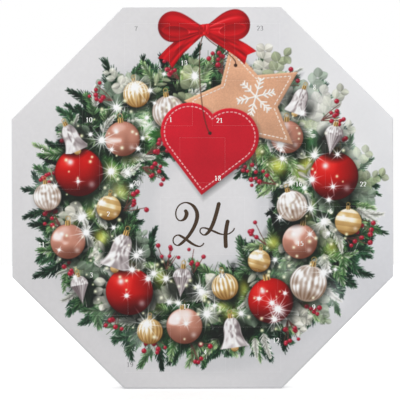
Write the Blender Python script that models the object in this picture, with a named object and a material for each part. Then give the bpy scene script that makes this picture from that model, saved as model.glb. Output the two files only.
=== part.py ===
"""Advent wreath calendar: an eight-sided board box with 24 doors and a tea light behind each.

The front carton is a folded lid whose panel is cut into doors. The back carton is the base
that slides into it. Between them lies a thermoformed tray with a well for each tea light,
and the wide well behind the largest door also takes a low glass holder.

The box stands on its bottom wall and faces -Y. Lengths are in metres. The pieces are
modelled in the panel's own frame: x to the right, y up, z out of the front face, with
zero depth on that face.
"""

import math
from collections import namedtuple

import bmesh
import bpy
from mathutils import Matrix

# Board, film and fits
board = 0.0006
clearance = 0.0003
overrun = 0.0030
fold_radius = 0.0008

# Tea light
candle_height = 0.0220
candle_radius = 0.0195
candle_taper = 0.0010
cup_wall = 0.0005
cup_chamfer = 0.0008
wax_depth = 0.0172
wax_dish = 0.0004
wick_radius = 0.0008
wick_below_rim = 0.0008

# Glass holder behind the largest door
holder_floor = 0.0030
holder_height = 0.0160
holder_length = 0.0740
holder_wall = 0.0034
holder_corner = 0.0110
holder_flare = 0.0006
holder_round = 0.0015
bore_gap = 0.0008
holder_headroom = 0.0004

# Doors on the front panel
aperture_side = 0.0440
wide_aperture_width = 0.0820
wide_aperture_height = 0.0560
row_pitch = 0.0612
column_pitch = 0.0630
end_row_pitch = 0.0535
middle_column_offset = 0.0780
wide_door_lift = 0.0034
upper_middle_lift = 0.0058
end_row_shift = 0.0058
border = 0.0158

# Cartons
back_reveal = 0.0015
base_wall_height = 0.0180
flap_length = 0.0120
flap_taper = 0.0030

# Tray
film = 0.0005
well_gap = 0.0011
well_fillet = 0.0012
rim_fillet = 0.0010
notch_reach = 0.0050
skirt_depth = 0.0080
skirt_draft = 0.0004
draft_angle = math.radians(3)

# Facets
sides = 8
candle_steps = 16
well_steps = 18
notch_half_angle = math.radians(40)
corner_steps = 4

# Numbers of the doors, row by row from the top
row_numbers = (
    (7, 13, 23),
    (10, 1, 21, 8),
    (5, 20, 18, 16, 22),
    (11, 2, 24, 15, 6),
    (3, 17, 14, 9),
    (19, 4, 12),
)
wide_number = 24
door_lifts = {wide_number: wide_door_lift, 18: upper_middle_lift}

# Depths that follow from what is stacked behind the largest door
box_depth = (board + holder_headroom + candle_height + clearance + holder_floor
             + clearance + film + clearance + board)
end_row_offset = (len(row_numbers) - 1) / 2 * row_pitch - end_row_shift
across_flats = 2 * end_row_offset + aperture_side + 2 * border
half_side = across_flats / 2
base_apothem = half_side - board - clearance
tray_apothem = base_apothem - 2 * board - clearance
flange_depth = board + clearance
floor_depth = box_depth - board - clearance - film

# Wells, from the tea light and the holder that lie in them
well_draft = math.tan(draft_angle) * (floor_depth - flange_depth)
well_floor_radius = candle_radius - candle_taper + well_gap
bore_radius = candle_radius + bore_gap
holder_width = 2 * (bore_radius + holder_wall)

Place = namedtuple("Place", "number x y width height")


def row_offsets(count):
    """The doors' offsets from the middle of a row of three, four or five."""
    if count == 5:
        outer = middle_column_offset + column_pitch
        return (-outer, -middle_column_offset, 0, middle_column_offset, outer)
    pitch = end_row_pitch if count == 3 else column_pitch
    return tuple((index - (count - 1) / 2) * pitch for index in range(count))


def door_places():
    """Every door's number, its aperture's centre on the panel, and the aperture's size."""
    places = []
    for row, numbers in enumerate(row_numbers):
        row_y = ((len(row_numbers) - 1) / 2 - row) * row_pitch
        row_y = max(-end_row_offset, min(end_row_offset, row_y))
        for number, x in zip(numbers, row_offsets(len(numbers))):
            y = row_y + door_lifts.get(number, 0)
            if number == wide_number:
                places.append(Place(number, x, y, wide_aperture_width, wide_aperture_height))
            else:
                places.append(Place(number, x, y, aperture_side, aperture_side))
    return sorted(places)


def clear_scene():
    """Start from nothing."""
    for obj in list(bpy.data.objects):
        bpy.data.objects.remove(obj, do_unlink=True)


def finish(name, colour, roughness, metallic=0.0, transmission=0.0):
    """A Principled material."""
    material = bpy.data.materials.new(name)
    material.use_nodes = True
    shader = material.node_tree.nodes["Principled BSDF"]
    shader.inputs["Base Color"].default_value = (*colour, 1.0)
    shader.inputs["Roughness"].default_value = roughness
    shader.inputs["Metallic"].default_value = metallic
    shader.inputs["Transmission Weight"].default_value = transmission
    material.diffuse_color = (*colour, 1.0)
    return material


def panel_frame():
    """An empty at the centre of the front face: its x is right, its y up, its z forward."""
    frame = bpy.data.objects.new("panel_frame", None)
    frame.location = (0, -box_depth / 2, half_side)
    frame.rotation_euler = (math.radians(90), 0, 0)
    bpy.context.scene.collection.objects.link(frame)
    return frame


def place_mesh(name, mesh, material, frame, at=(0, 0, 0)):
    """Put a mesh in the scene under the panel's frame."""
    obj = bpy.data.objects.new(name, mesh)
    bpy.context.scene.collection.objects.link(obj)
    obj.parent = frame
    obj.location = at
    if material and not mesh.materials:
        mesh.materials.append(material)
    return obj


def mesh_from(bm, name):
    """Turn a bmesh into a mesh whose faces look outwards."""
    mesh = bpy.data.meshes.new(name)
    bmesh.ops.recalc_face_normals(bm, faces=bm.faces)
    bm.to_mesh(mesh)
    bm.free()
    return mesh


def as_tool(obj):
    """Mark a helper that only shapes another piece."""
    obj.hide_render = True
    obj.display_type = "WIRE"
    return obj


def combine(obj, tool, operation):
    """Cut a tool away from a piece, or join it on."""
    modifier = obj.modifiers.new(tool.name, "BOOLEAN")
    modifier.operation = operation
    modifier.solver = "EXACT"
    modifier.object = tool


def loop_at(bm, outline, depth):
    """A closed loop of edges through the outline's points, that far behind the front face."""
    corners = [bm.verts.new((x, y, -depth)) for x, y in outline]
    return [bm.edges.new(pair) for pair in zip(corners, corners[1:] + corners[:1])]


def bridge_stack(bm, outlines):
    """Skin a stack of (outline, depth) pairs and return its first and last loops."""
    loops = [loop_at(bm, outline, depth) for outline, depth in outlines]
    for upper, lower in zip(loops, loops[1:]):
        bmesh.ops.bridge_loops(bm, edges=upper + lower)
    return loops[0], loops[-1]


def regular_outline(radius, steps):
    """Corners of a regular outline that has a flat side at the bottom and on its right."""
    turns = [(step + 0.5) * math.tau / steps for step in range(steps)]
    return [(radius * math.cos(turn), radius * math.sin(turn)) for turn in turns]


def octagon(apothem):
    """A regular eight-sided outline, from the distance between its centre and its sides."""
    return regular_outline(apothem / math.cos(math.pi / sides), sides)


def rounded_rectangle(width, height, corner, centre=(0, 0)):
    """Points of a rectangle with round corners."""
    points = []
    for quarter in range(4):
        right = 1 if quarter in (0, 3) else -1
        up = 1 if quarter in (0, 1) else -1
        for step in range(corner_steps + 1):
            turn = (quarter + step / corner_steps) * math.pi / 2
            x = right * (width / 2 - corner) + corner * math.cos(turn)
            y = up * (height / 2 - corner) + corner * math.sin(turn)
            points.append((centre[0] + x, centre[1] + y))
    return points


def notched_circle(radius, reach, centre):
    """A circle that bulges by reach at two opposite finger notches on one diagonal."""
    points = []
    for step in range(well_steps):
        turn = step * math.tau / well_steps
        off_notch = min(turn % math.pi, math.pi - turn % math.pi)
        bulge = math.cos(math.pi / 2 * min(off_notch / notch_half_angle, 1)) ** 2
        bearing = turn + math.pi / 4
        length = radius + reach * bulge
        points.append((centre[0] + length * math.cos(bearing), centre[1] + length * math.sin(bearing)))
    return points


def folded_box(name, apothem, panel_depth, rim_depth):
    """An eight-sided panel with walls folded up all round it, before its board has a thickness."""
    bm = bmesh.new()
    panel_loop, _ = bridge_stack(bm, [(octagon(apothem), panel_depth), (octagon(apothem), rim_depth)])
    bmesh.ops.edgeloop_fill(bm, edges=panel_loop)
    return mesh_from(bm, name)


def board_thickness(obj):
    """Round the folds and give the sheet its board thickness on the inner side."""
    folds = obj.modifiers.new("folds", "BEVEL")
    folds.width = fold_radius
    folds.segments = 2
    folds.limit_method = "ANGLE"
    folds.angle_limit = math.radians(30)
    sheet = obj.modifiers.new("board", "SOLIDIFY")
    sheet.thickness = board
    sheet.offset = -1
    sheet.use_even_offset = True


def aperture_cutter(places, frame):
    """One block per door, through the front panel."""
    bm = bmesh.new()
    for place in places:
        block = bmesh.ops.create_cube(bm, size=1.0)["verts"]
        bmesh.ops.scale(bm, verts=block, vec=(place.width, place.height, board + 2 * overrun))
        bmesh.ops.translate(bm, verts=block, vec=(place.x, place.y, -board / 2))
    return as_tool(place_mesh("aperture_cutter", mesh_from(bm, "aperture_cutter"), None, frame))


def front_carton(places, frame, material):
    """The lid: printed panel, eight walls and the apertures of the 24 doors."""
    mesh = folded_box("front_carton", half_side, 0, box_depth - back_reveal)
    obj = place_mesh("front_carton", mesh, material, frame)
    board_thickness(obj)
    combine(obj, aperture_cutter(places, frame), "DIFFERENCE")
    return obj


def glue_flaps(frame):
    """Eight flaps, each folded round a corner and glued inside the next wall of the base."""
    bm = bmesh.new()
    wall_face = base_apothem - board
    bite = board / 2
    corner_run = wall_face * math.tan(math.pi / sides)
    foot = box_depth - board - clearance
    head = box_depth - base_wall_height + clearance
    outline = (
        (corner_run + bite, foot),
        (corner_run - flap_length, foot - flap_taper),
        (corner_run - flap_length, head + flap_taper),
        (corner_run + bite, head),
    )
    for side in range(sides):
        glued = [bm.verts.new((wall_face + bite, along, -depth)) for along, depth in outline]
        grown = bmesh.ops.extrude_face_region(bm, geom=[bm.faces.new(glued)])["geom"]
        free = [item for item in grown if isinstance(item, bmesh.types.BMVert)]
        bmesh.ops.translate(bm, verts=free, vec=(-board - bite, 0, 0))
        to_its_wall = Matrix.Rotation(side * math.tau / sides, 3, "Z")
        bmesh.ops.rotate(bm, verts=glued + free, cent=(0, 0, 0), matrix=to_its_wall)
    return as_tool(place_mesh("glue_flaps", mesh_from(bm, "glue_flaps"), None, frame))


def back_carton(frame, material):
    """The base: plain back panel, low walls that slide inside the lid, and glued corners."""
    mesh = folded_box("back_carton", base_apothem, box_depth, box_depth - base_wall_height)
    obj = place_mesh("back_carton", mesh, material, frame)
    board_thickness(obj)
    combine(obj, glue_flaps(frame), "UNION")
    return obj


def add_well(bm, outline_at):
    """Skin one well, from its rolled rim to its floor, and return the rim's loop."""
    stack = [
        (outline_at(well_draft + rim_fillet, 1), flange_depth),
        (outline_at(well_draft, 1), flange_depth + rim_fillet),
        (outline_at(0, 0), floor_depth - well_fillet),
        (outline_at(-well_fillet, 0), floor_depth),
    ]
    rim, floor = bridge_stack(bm, stack)
    bmesh.ops.edgeloop_fill(bm, edges=floor)
    return rim


def round_well(bm, place):
    """A well for one tea light, with finger notches that fade out towards the floor."""
    def outline_at(growth, notch_share):
        reach = notch_reach * notch_share
        return notched_circle(well_floor_radius + growth, reach, (place.x, place.y))
    return add_well(bm, outline_at)


def wide_well(bm, place):
    """The oblong well for the glass holder."""
    def outline_at(growth, notch_share):
        width = holder_length + 2 * (holder_flare + well_gap + growth)
        height = holder_width + 2 * (holder_flare + well_gap + growth)
        return rounded_rectangle(width, height, holder_corner + growth, (place.x, place.y))
    return add_well(bm, outline_at)


def tray(places, frame, material):
    """The thermoformed sheet: a flange with a well behind each door and a skirt round the edge."""
    bm = bmesh.new()
    rims = []
    for place in places:
        well = wide_well if place.number == wide_number else round_well
        rims += well(bm, place)
    edge_stack = [
        (octagon(tray_apothem - skirt_draft), flange_depth),
        (octagon(tray_apothem), flange_depth + skirt_depth),
    ]
    edge, _ = bridge_stack(bm, edge_stack)
    bmesh.ops.triangle_fill(bm, use_beauty=True, edges=rims + edge, normal=(0, 0, 1))
    obj = place_mesh("tray", mesh_from(bm, "tray"), material, frame)
    sheet = obj.modifiers.new("film", "SOLIDIFY")
    sheet.thickness = film
    sheet.offset = -1
    sheet.use_even_offset = True
    return obj


def turned(profile, name, steps):
    """Spin a profile of (radius, height) points round the z axis into a closed solid."""
    bm = bmesh.new()
    points = [bm.verts.new((radius, 0, height)) for radius, height in profile]
    line = [bm.edges.new(pair) for pair in zip(points, points[1:])]
    bmesh.ops.spin(bm, geom=points + line, cent=(0, 0, 0), axis=(0, 0, 1), angle=math.tau,
                   steps=steps, use_merge=True)
    bmesh.ops.remove_doubles(bm, verts=bm.verts, dist=wick_radius / 10)
    mesh = mesh_from(bm, name)
    mesh.shade_smooth()
    mesh.set_sharp_from_angle(angle=math.radians(35))
    return mesh


def tea_light_mesh():
    """A tea light: tapered cup with a thin rim, dished wax and a short wick, base at zero."""
    base_radius = candle_radius - candle_taper
    inside = candle_radius - cup_wall
    profile = (
        (0, 0),
        (base_radius - cup_chamfer, 0),
        (base_radius, cup_chamfer),
        (candle_radius, candle_height),
        (inside, candle_height),
        (inside - cup_wall / 2, wax_depth + wax_dish),
        (wick_radius, wax_depth),
        (wick_radius, candle_height - wick_below_rim),
        (0, candle_height - wick_below_rim),
    )
    return turned(profile, "tea_light", candle_steps)


def tea_lights(places, frame, material):
    """One tea light per door: on the well's floor, or in the glass holder behind the wide door."""
    mesh = tea_light_mesh()
    for place in places:
        raised = holder_floor + clearance if place.number == wide_number else 0
        seat = floor_depth - clearance - raised
        place_mesh(f"tea_light_{place.number:02d}", mesh, material, frame, (place.x, place.y, -seat))


def glass_holder(place, frame, material):
    """A low oblong glass block with rounded edges and a round bore for one tea light."""
    steps = 4 * (corner_steps + 1)

    def rim(growth):
        corner = holder_corner + growth
        return rounded_rectangle(holder_length + 2 * growth, holder_width + 2 * growth, corner)
    bore = regular_outline(bore_radius, steps)
    bm = bmesh.new()
    foot, top_edge = bridge_stack(bm, [
        (rim(-holder_round), 0),
        (rim(0), -holder_round),
        (rim(holder_flare), -(holder_height - holder_round)),
        (rim(holder_flare - holder_round), -holder_height),
    ])
    mouth, bore_floor = bridge_stack(bm, [(bore, -holder_height), (bore, -holder_floor)])
    bmesh.ops.triangle_fill(bm, use_beauty=True, edges=top_edge + mouth, normal=(0, 0, 1))
    bmesh.ops.edgeloop_fill(bm, edges=foot)
    bmesh.ops.edgeloop_fill(bm, edges=bore_floor)
    mesh = mesh_from(bm, "glass_holder")
    mesh.shade_smooth()
    mesh.set_sharp_from_angle(angle=math.radians(35))
    return place_mesh("glass_holder", mesh, material, frame, (place.x, place.y, clearance - floor_depth))


def door(place, frame, material):
    """A flap of the front board, with its origin on the crease at its left edge."""
    width = place.width - 2 * clearance
    height = place.height - 2 * clearance
    bm = bmesh.new()
    plate = bmesh.ops.create_cube(bm, size=1.0)["verts"]
    bmesh.ops.scale(bm, verts=plate, vec=(width, height, board))
    bmesh.ops.translate(bm, verts=plate, vec=(width / 2, 0, -board / 2))
    name = f"door_{place.number:02d}"
    crease = (place.x - width / 2, place.y, 0)
    return place_mesh(name, mesh_from(bm, name), material, frame, crease)


def build():
    """Build the whole calendar."""
    clear_scene()
    print_board = finish("printed_board", (0.74, 0.74, 0.73), 0.45)
    plain_board = finish("plain_board", (0.80, 0.79, 0.76), 0.80)
    door_board = finish("door_board", (0.30, 0.42, 0.26), 0.45)
    film_white = finish("tray_film", (0.86, 0.86, 0.85), 0.35)
    wax_and_cup = finish("wax_and_cup", (0.90, 0.86, 0.78), 0.40)
    clear_glass = finish("clear_glass", (0.95, 0.97, 0.97), 0.05, transmission=1.0)
    frame = panel_frame()
    places = door_places()
    front_carton(places, frame, print_board)
    back_carton(frame, plain_board)
    tray(places, frame, film_white)
    tea_lights(places, frame, wax_and_cup)
    wide_place = next(place for place in places if place.number == wide_number)
    glass_holder(wide_place, frame, clear_glass)
    for place in places:
        door(place, frame, door_board)


build()
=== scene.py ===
# %% [markdown]
# An advent calendar in the shape of a flat, eight-sided board box. Its front is one printed
# picture, a fir wreath on pale paper, and 24 doors are cut into it. A tea light lies behind each.
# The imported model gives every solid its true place. This script dresses it: the picture, the
# boards, the tray's film, the wax and the glass. It starts with the model and its measures.

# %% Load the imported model
import math

import bmesh
import bpy
import numpy as np
from mathutils import Matrix, Vector


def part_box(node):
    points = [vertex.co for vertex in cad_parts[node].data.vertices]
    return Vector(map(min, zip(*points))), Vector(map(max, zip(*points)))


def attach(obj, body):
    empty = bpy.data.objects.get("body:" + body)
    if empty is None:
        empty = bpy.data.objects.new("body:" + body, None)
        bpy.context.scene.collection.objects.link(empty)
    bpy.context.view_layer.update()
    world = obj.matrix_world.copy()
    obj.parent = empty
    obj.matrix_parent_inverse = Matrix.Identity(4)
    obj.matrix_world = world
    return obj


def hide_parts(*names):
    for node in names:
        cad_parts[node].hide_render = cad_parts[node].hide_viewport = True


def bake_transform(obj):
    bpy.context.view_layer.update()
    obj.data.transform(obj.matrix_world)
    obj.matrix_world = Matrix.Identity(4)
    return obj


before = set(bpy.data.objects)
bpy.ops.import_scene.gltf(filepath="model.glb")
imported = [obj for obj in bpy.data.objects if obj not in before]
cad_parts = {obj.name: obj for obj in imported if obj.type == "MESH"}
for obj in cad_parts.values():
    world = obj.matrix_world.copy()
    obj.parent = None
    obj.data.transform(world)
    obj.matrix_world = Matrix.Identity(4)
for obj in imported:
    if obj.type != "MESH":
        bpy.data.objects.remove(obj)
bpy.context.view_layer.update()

mm = 0.001
front_low, front_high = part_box("front_carton")
front_y = front_low.y
half_side = (front_high.z - front_low.z) / 2
across_flats_mm = 2 * half_side / mm
print("front face at y", round(front_y, 4), "and", round(across_flats_mm), "mm across its flats")

# %% [markdown]
# Every door is a node of the model, so its box says where its aperture is. The numbers are part
# of the nodes' names. Each door turns on the crease at its left edge.

# %% Find the doors
door_numbers = sorted(int(name.split("_")[1]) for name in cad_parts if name.startswith("door_"))
wide_number = 24
kerf = 0.3 * mm


def door_span(number):
    """A door's left, right, bottom and top, in the row's metres."""
    low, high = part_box(f"door_{number:02d}")
    return low.x, high.x, low.z, high.z


wide_left, wide_right = door_span(wide_number)[:2]
print(len(door_numbers), "doors; the widest is", round((wide_right - wide_left) / mm, 1), "mm")

# %% [markdown]
# The picture is painted by rules, stroke by stroke, on a sheet of dots that stands for the
# printing plate. Nothing is read from a file. An image texture would be the usual way; here the
# finished sheet is handed to the mesh as a colour for every vertex of a fine grid, so the print
# travels with each door. Lengths on the sheet are millimetres from the panel's centre.

# %% A sheet of dots, and inks to put on it
dots_per_mm = 4
sheet_half = 187.0
sheet_dots = int(2 * sheet_half * dots_per_mm)
sheet = np.zeros((sheet_dots, sheet_dots, 3), np.float32)
print_light = np.array((-0.55, 0.83))


def as_dots(x, y):
    """Column and row of the sheet for a place on the panel."""
    return (x + sheet_half) * dots_per_mm, (sheet_half - y) * dots_per_mm


def patch(x, y, reach):
    """The part of the sheet around a place, with each dot's offset from it."""
    column, row = as_dots(x, y)
    span = reach * dots_per_mm
    left, right = max(int(column - span), 0), min(int(column + span) + 1, sheet_dots)
    top, bottom = max(int(row - span), 0), min(int(row + span) + 1, sheet_dots)
    across = (np.arange(left, right) + 0.5 - column) / dots_per_mm
    up = (row - np.arange(top, bottom) - 0.5) / dots_per_mm
    dx, dy = np.meshgrid(across, up)
    return sheet[top:bottom, left:right], dx, dy


def cover(area, colour, amount):
    """Lay an opaque ink over an area, as far as amount says."""
    amount = np.clip(amount, 0, 1)[..., None]
    area += (np.asarray(colour, np.float32) - area) * amount


def shine(area, colour, amount):
    """Lighten an area, as a lamp's glow does."""
    glow = np.clip(amount, 0, 1)[..., None] * np.asarray(colour, np.float32)
    area += (1 - area) * glow


def inside(distance, softness=0.3):
    """How far a dot lies inside an outline, from its distance past it."""
    return np.clip(0.5 - distance / softness, 0, 1)


def mixed(first, second, share):
    """A colour between two, for a share or for an array of shares."""
    share = np.asarray(share, np.float32)[..., None]
    return np.asarray(first, np.float32) * (1 - share) + np.asarray(second, np.float32) * share


def toned(tints, tone, lit):
    """A colour from the dark to the middle tint by its tone, and the light tint where it is lit."""
    dark, middle, light = tints
    tint = mixed(dark, middle, np.clip(tone, 0, 1))
    return tint + (np.asarray(light, np.float32) - tint) * lit[..., None]


def ramp(value, start, end):
    """How far a value has gone from start to end, kept between 0 and 1."""
    return np.clip((value - start) / (end - start), 0, 1)


def band(distance, width):
    """A soft band that is 1 in its middle and fades on both sides."""
    return np.exp(-(distance / width) ** 2)


def turned(dx, dy, turn):
    """Offsets along and across a direction."""
    return dx * math.cos(turn) + dy * math.sin(turn), dy * math.cos(turn) - dx * math.sin(turn)


def moved(x, y, turn, distance):
    """The place at a distance in a direction."""
    return x + distance * math.cos(turn), y + distance * math.sin(turn)


def smooth_noise(shape, cell, rng):
    """Cloudy noise from 0 to 1 whose clouds are about one cell wide, as tall and wide as the shape."""
    sizes = shape[:2]
    coarse = rng.random([int(size / cell) + 3 for size in sizes]).astype(np.float32)
    places = [np.arange(size) / cell for size in sizes]
    row, column = (place.astype(int) for place in places)
    down, along = (part * part * (3 - 2 * part) for part in (place % 1 for place in places))
    upper, lower = (coarse[line][:, column] * (1 - along) + coarse[line][:, column + 1] * along
                    for line in (row, row + 1))
    return upper * (1 - down[:, None]) + lower * down[:, None]


print("sheet of", sheet_dots, "by", sheet_dots, "dots")

# %% [markdown]
# Needles, stems, cords and ribbons are all strokes: a bent middle line with a width. Thousands
# of them are laid at once as arrays of dots, and a later dot covers an earlier one, as paint does.

# %% Strokes
stroke_batch = 1500
stroke_oversample = 1.25
stroke_shade = 0.30
taper_power = 2.5


def drop_dots(x, y, tint):
    """Put coloured dots on the sheet, the last one on top."""
    column, row = as_dots(x, y)
    column, row = column.astype(int), row.astype(int)
    kept = (column >= 0) & (column < sheet_dots) & (row >= 0) & (row < sheet_dots)
    sheet[row[kept], column[kept]] = np.clip(tint, 0, 1)[kept]


def lay_strokes(foot, heading, bend, length, width, foot_tint, tip_tint, taper=1.0):
    """Paint many tapered strokes, later ones over earlier ones. One value can serve them all."""
    count = len(heading)
    bend, length, width = (np.broadcast_to(value, count) for value in (bend, length, width))
    foot = np.broadcast_to(foot, (count, 2))
    foot_tint, tip_tint = (np.broadcast_to(tint, (count, 3)) for tint in (foot_tint, tip_tint))
    dots_per_stroke_mm = dots_per_mm * stroke_oversample
    along = np.linspace(0, 1, int(length.max() * dots_per_stroke_mm) + 3)
    across = np.linspace(-1, 1, int(width.max() * dots_per_stroke_mm) + 2)
    for start in range(0, count, stroke_batch):
        part = slice(start, start + stroke_batch)
        turn = heading[part, None] + bend[part, None] * along / 2
        slope = (heading[part, None] + bend[part, None] * along)[..., None]
        run = length[part, None] * along
        half = (width[part, None] / 2 * (1 - taper * along ** taper_power))[..., None] * across
        x = (foot[part, 0, None] + run * np.cos(turn))[..., None] - half * np.sin(slope)
        y = (foot[part, 1, None] + run * np.sin(turn))[..., None] + half * np.cos(slope)
        facing = (print_light[1] * np.cos(slope) - print_light[0] * np.sin(slope)) * across
        tint = mixed(foot_tint[part, None], tip_tint[part, None], along)[:, :, None, :]
        drop_dots(x, y, tint * (1 + stroke_shade * facing)[..., None])


print("strokes are laid", stroke_batch, "at a time")

# %% [markdown]
# A fir twig is a stem with a row of needles on each side that lean towards its tip. The ring is
# layers of twigs. The deepest is nearly black and keeps to the ring's middle, the next ones are
# fresher and reach further out, and the last is thick with frost. So the gaps between the twigs
# look deep although the print is flat, and the outline is airy.

# %% Fir
wreath_centre = np.array((0.0, -8.0))
ring_shape = np.array((1.07, 0.97))
ring_radius = 103.0
ring_half_width = 46.0
ground_grey = np.array((0.818, 0.8135, 0.820), np.float32)
# Painted light: the paper's grey rises and falls slowly across the panel, lighter to the upper right
painted_light_rise = (0.00006, 0.00001, 0.00000010, 0.0000007, 0.000000012)
ground_cast = np.array((-0.00004, 0.0, 0.00005), np.float32)
# Clouds in the paper's tone: how wide they are in dots, and how strong
paper_clouds = ((150, 0.03), (9, 0.012))
ring_shadow_shift, ring_shadow_fade = np.array((3.0, -5.0)), 9.49
ring_shadow_grey, ring_shadow_depth = (0.60, 0.62, 0.64), 0.20
# Painted shade on the panel's lower folds: its grey, strength and width, and its slope and rise up the
# sides
fold_painted_shade, fold_shade_strength, fold_line = (0.50, 0.50, 0.51), 0.35, 0.7
fold_lean, fold_rise = 0.45, 6
twig_brown, twig_width = (0.20, 0.15, 0.10), 1.0
frost_white = (0.95, 0.94, 0.91)
deep_shade = (0.00, 0.015, 0.01)
needles_per_side, first_needle, top_needle_step = 34, 0.02, 3
lean_at_foot, lean_at_tip = 58, 24
twig_bend, needle_sway, needle_curl = 0.35, 0.16, 0.35
needle_lengths, needle_shrink = (0.75, 1.15), 0.45
tone_mean, needle_tone_spread, twig_tone_spread = 0.45, 0.30, 0.20
needle_foot_shade, needle_tip_shade = 0.62, 1.25
twig_scales, reach_scales = (0.7, 1.2), (0.8, 1.2)
hollow_cell, hollow_levels, hollow_fade = 24, (0.50, 0.78), (0.95, 0.60)
# How twigs lie: the share that is swept one way round, and the spread and limits of their lean
swept_share, lean_spread, lean_limits = 0.75, 0.45, (-1.2, 1.3)
fir_layers = (
    # twigs, inner and outer radius, twig length, needle length and width, dark tint, light tint,
    # share frosted, gloom over the layer
    (230, 84, 120, 30, 10.0, 0.90, (0.00, 0.02, 0.02), (0.05, 0.10, 0.08), 0.00, 1.00),
    (240, 76, 131, 32, 10.5, 0.80, (0.01, 0.08, 0.05), (0.17, 0.30, 0.20), 0.02, 0.95),
    (210, 74, 137, 28, 9.5, 0.70, (0.05, 0.17, 0.09), (0.38, 0.53, 0.34), 0.06, 0.80),
    (120, 74, 140, 24, 8.5, 0.62, (0.14, 0.32, 0.14), (0.64, 0.74, 0.53), 0.22, 0.62),
    (80, 80, 142, 20, 6.5, 0.50, (0.62, 0.65, 0.59), (0.98, 0.97, 0.94), 0.60, 0.00),
)
# Bearings between which more twigs fill the ring's outer edge, how many, and their radii
fringes = ((190, 350, 110, 118, 143), (92, 185, 50, 116, 139), (0, 60, 26, 120, 142))
fringe_tint = ((0.01, 0.09, 0.06), (0.24, 0.40, 0.27))
fringe_lean, fringe_length, fringe_reach = (0.2, 1.3), (16, 27), (7, 10)
fringe_needle, fringe_frost = 0.7, 0.04
wisp_count, wisp_radii, wisp_lengths, wisp_width = 900, (66, 142), (7, 17), 0.45
wisp_lean, wisp_bend, wisp_taper, wisp_tip_shade = 0.7, 0.5, 0.5, 1.15
wisp_tint = ((0.16, 0.22, 0.17), (0.42, 0.48, 0.38))


def on_ring(bearing, radius):
    """Places on the ring, which is a little wider than it is tall."""
    outward = np.stack((np.cos(bearing), np.sin(bearing)), -1)
    return wreath_centre + ring_shape * outward * np.asarray(radius)[..., None]


def from_middle(x, y):
    """Distance from the ring's middle line, as a share of its half width."""
    across, up = (x - wreath_centre[0]) / ring_shape[0], (y - wreath_centre[1]) / ring_shape[1]
    return np.abs(np.hypot(across, up) - ring_radius) / ring_half_width


def ring_places(rng, count, inner, outer, start=0.0, span=math.tau):
    """Places spread evenly along the ring in a random order, their bearings and their radii."""
    bearing = start + (np.arange(count) + rng.uniform(-0.5, 0.5, count)) * span / count
    radius = np.sqrt(rng.uniform(inner ** 2, outer ** 2, count))
    order = rng.permutation(count)
    bearing, radius = bearing[order], radius[order]
    return on_ring(bearing, radius), bearing, radius


def needle_rows():
    """Where needles stand along a twig and on which side of it, from its foot to its tip."""
    one_side = np.linspace(first_needle, 1.0, needles_per_side)
    on_top = one_side[::top_needle_step]
    along = np.concatenate((one_side, one_side, on_top))
    side = np.repeat((1, -1, 0), (len(one_side), len(one_side), len(on_top)))
    order = np.argsort(along, kind="stable")
    return along[order], side[order]


def lay_twigs(rng, foot, heading, length, reach, width, dark, light, frost):
    """Paint fir twigs, one after another."""
    along, side = needle_rows()
    count, spread, total = len(foot), (len(foot), len(along)), len(foot) * len(along)
    bend = rng.normal(0, twig_bend, count)
    lay_strokes(foot, heading, bend, length, twig_width, twig_brown, twig_brown)
    turn, run = heading[:, None] + bend[:, None] * along / 2, length[:, None] * along
    feet = np.stack((foot[:, 0, None] + run * np.cos(turn), foot[:, 1, None] + run * np.sin(turn)), -1)
    lean = np.radians(lean_at_foot + (lean_at_tip - lean_at_foot) * along) * side
    needle_heading = heading[:, None] + bend[:, None] * along + lean + rng.normal(0, needle_sway, spread)
    shrink = 1 - needle_shrink * along ** 2
    needle_length = reach[:, None] * shrink * rng.uniform(*needle_lengths, spread)
    tone = rng.normal(tone_mean, needle_tone_spread, spread) + rng.normal(0, twig_tone_spread, (count, 1))
    body_tint = mixed(dark, light, np.clip(tone, 0, 1))
    frosted = (rng.random(spread) < frost)[..., None]
    tip_tint = np.where(frosted, frost_white, body_tint * needle_tip_shade)
    curl = np.broadcast_to(-needle_curl * side, spread).reshape(total)
    lay_strokes(feet.reshape(total, 2), needle_heading.reshape(total), curl, needle_length.reshape(total),
                width, (body_tint * needle_foot_shade).reshape(total, 3), tip_tint.reshape(total, 3))


def paint_ground(rng):
    """Pale paper painted lighter to the upper right, the wreath's shadow, painted shade on lower folds."""
    area, dx, dy = patch(0, 0, sheet_half)
    area[:] = ground_grey
    # Painted light: the paper is lighter to the upper right, with a slight tint that changes across it
    rise = np.stack((dx, dy, dx ** 2, dx * dy, dx ** 2 * dy), -1) @ np.array(painted_light_rise)
    area += rise[..., None] + np.clip(dx, 0, None)[..., None] * ground_cast
    for cell, strength in paper_clouds:
        area += (smooth_noise(area.shape, cell, rng) - 0.5)[..., None] * strength
    from_ring = np.hypot(*(np.stack((dx, dy)) - (wreath_centre + ring_shadow_shift)[:, None, None]))
    beyond = np.clip(np.abs(from_ring - ring_radius) - ring_half_width, 0, None)
    cover(area, ring_shadow_grey, ring_shadow_depth * band(beyond, ring_shadow_fade))
    # Painted shade along the lower folds, darkest at the edge and fading inwards and up the sides
    straight, slanted = np.maximum(np.abs(dx), -dy), (np.abs(dx) - dy) / math.sqrt(2)
    from_fold = np.maximum(straight, slanted) - across_flats_mm / 2
    lower = ramp(-dy - fold_lean * np.abs(dx), 0, fold_rise)
    cover(area, fold_painted_shade, fold_shade_strength * lower * band(from_fold + fold_line, fold_line))


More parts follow.
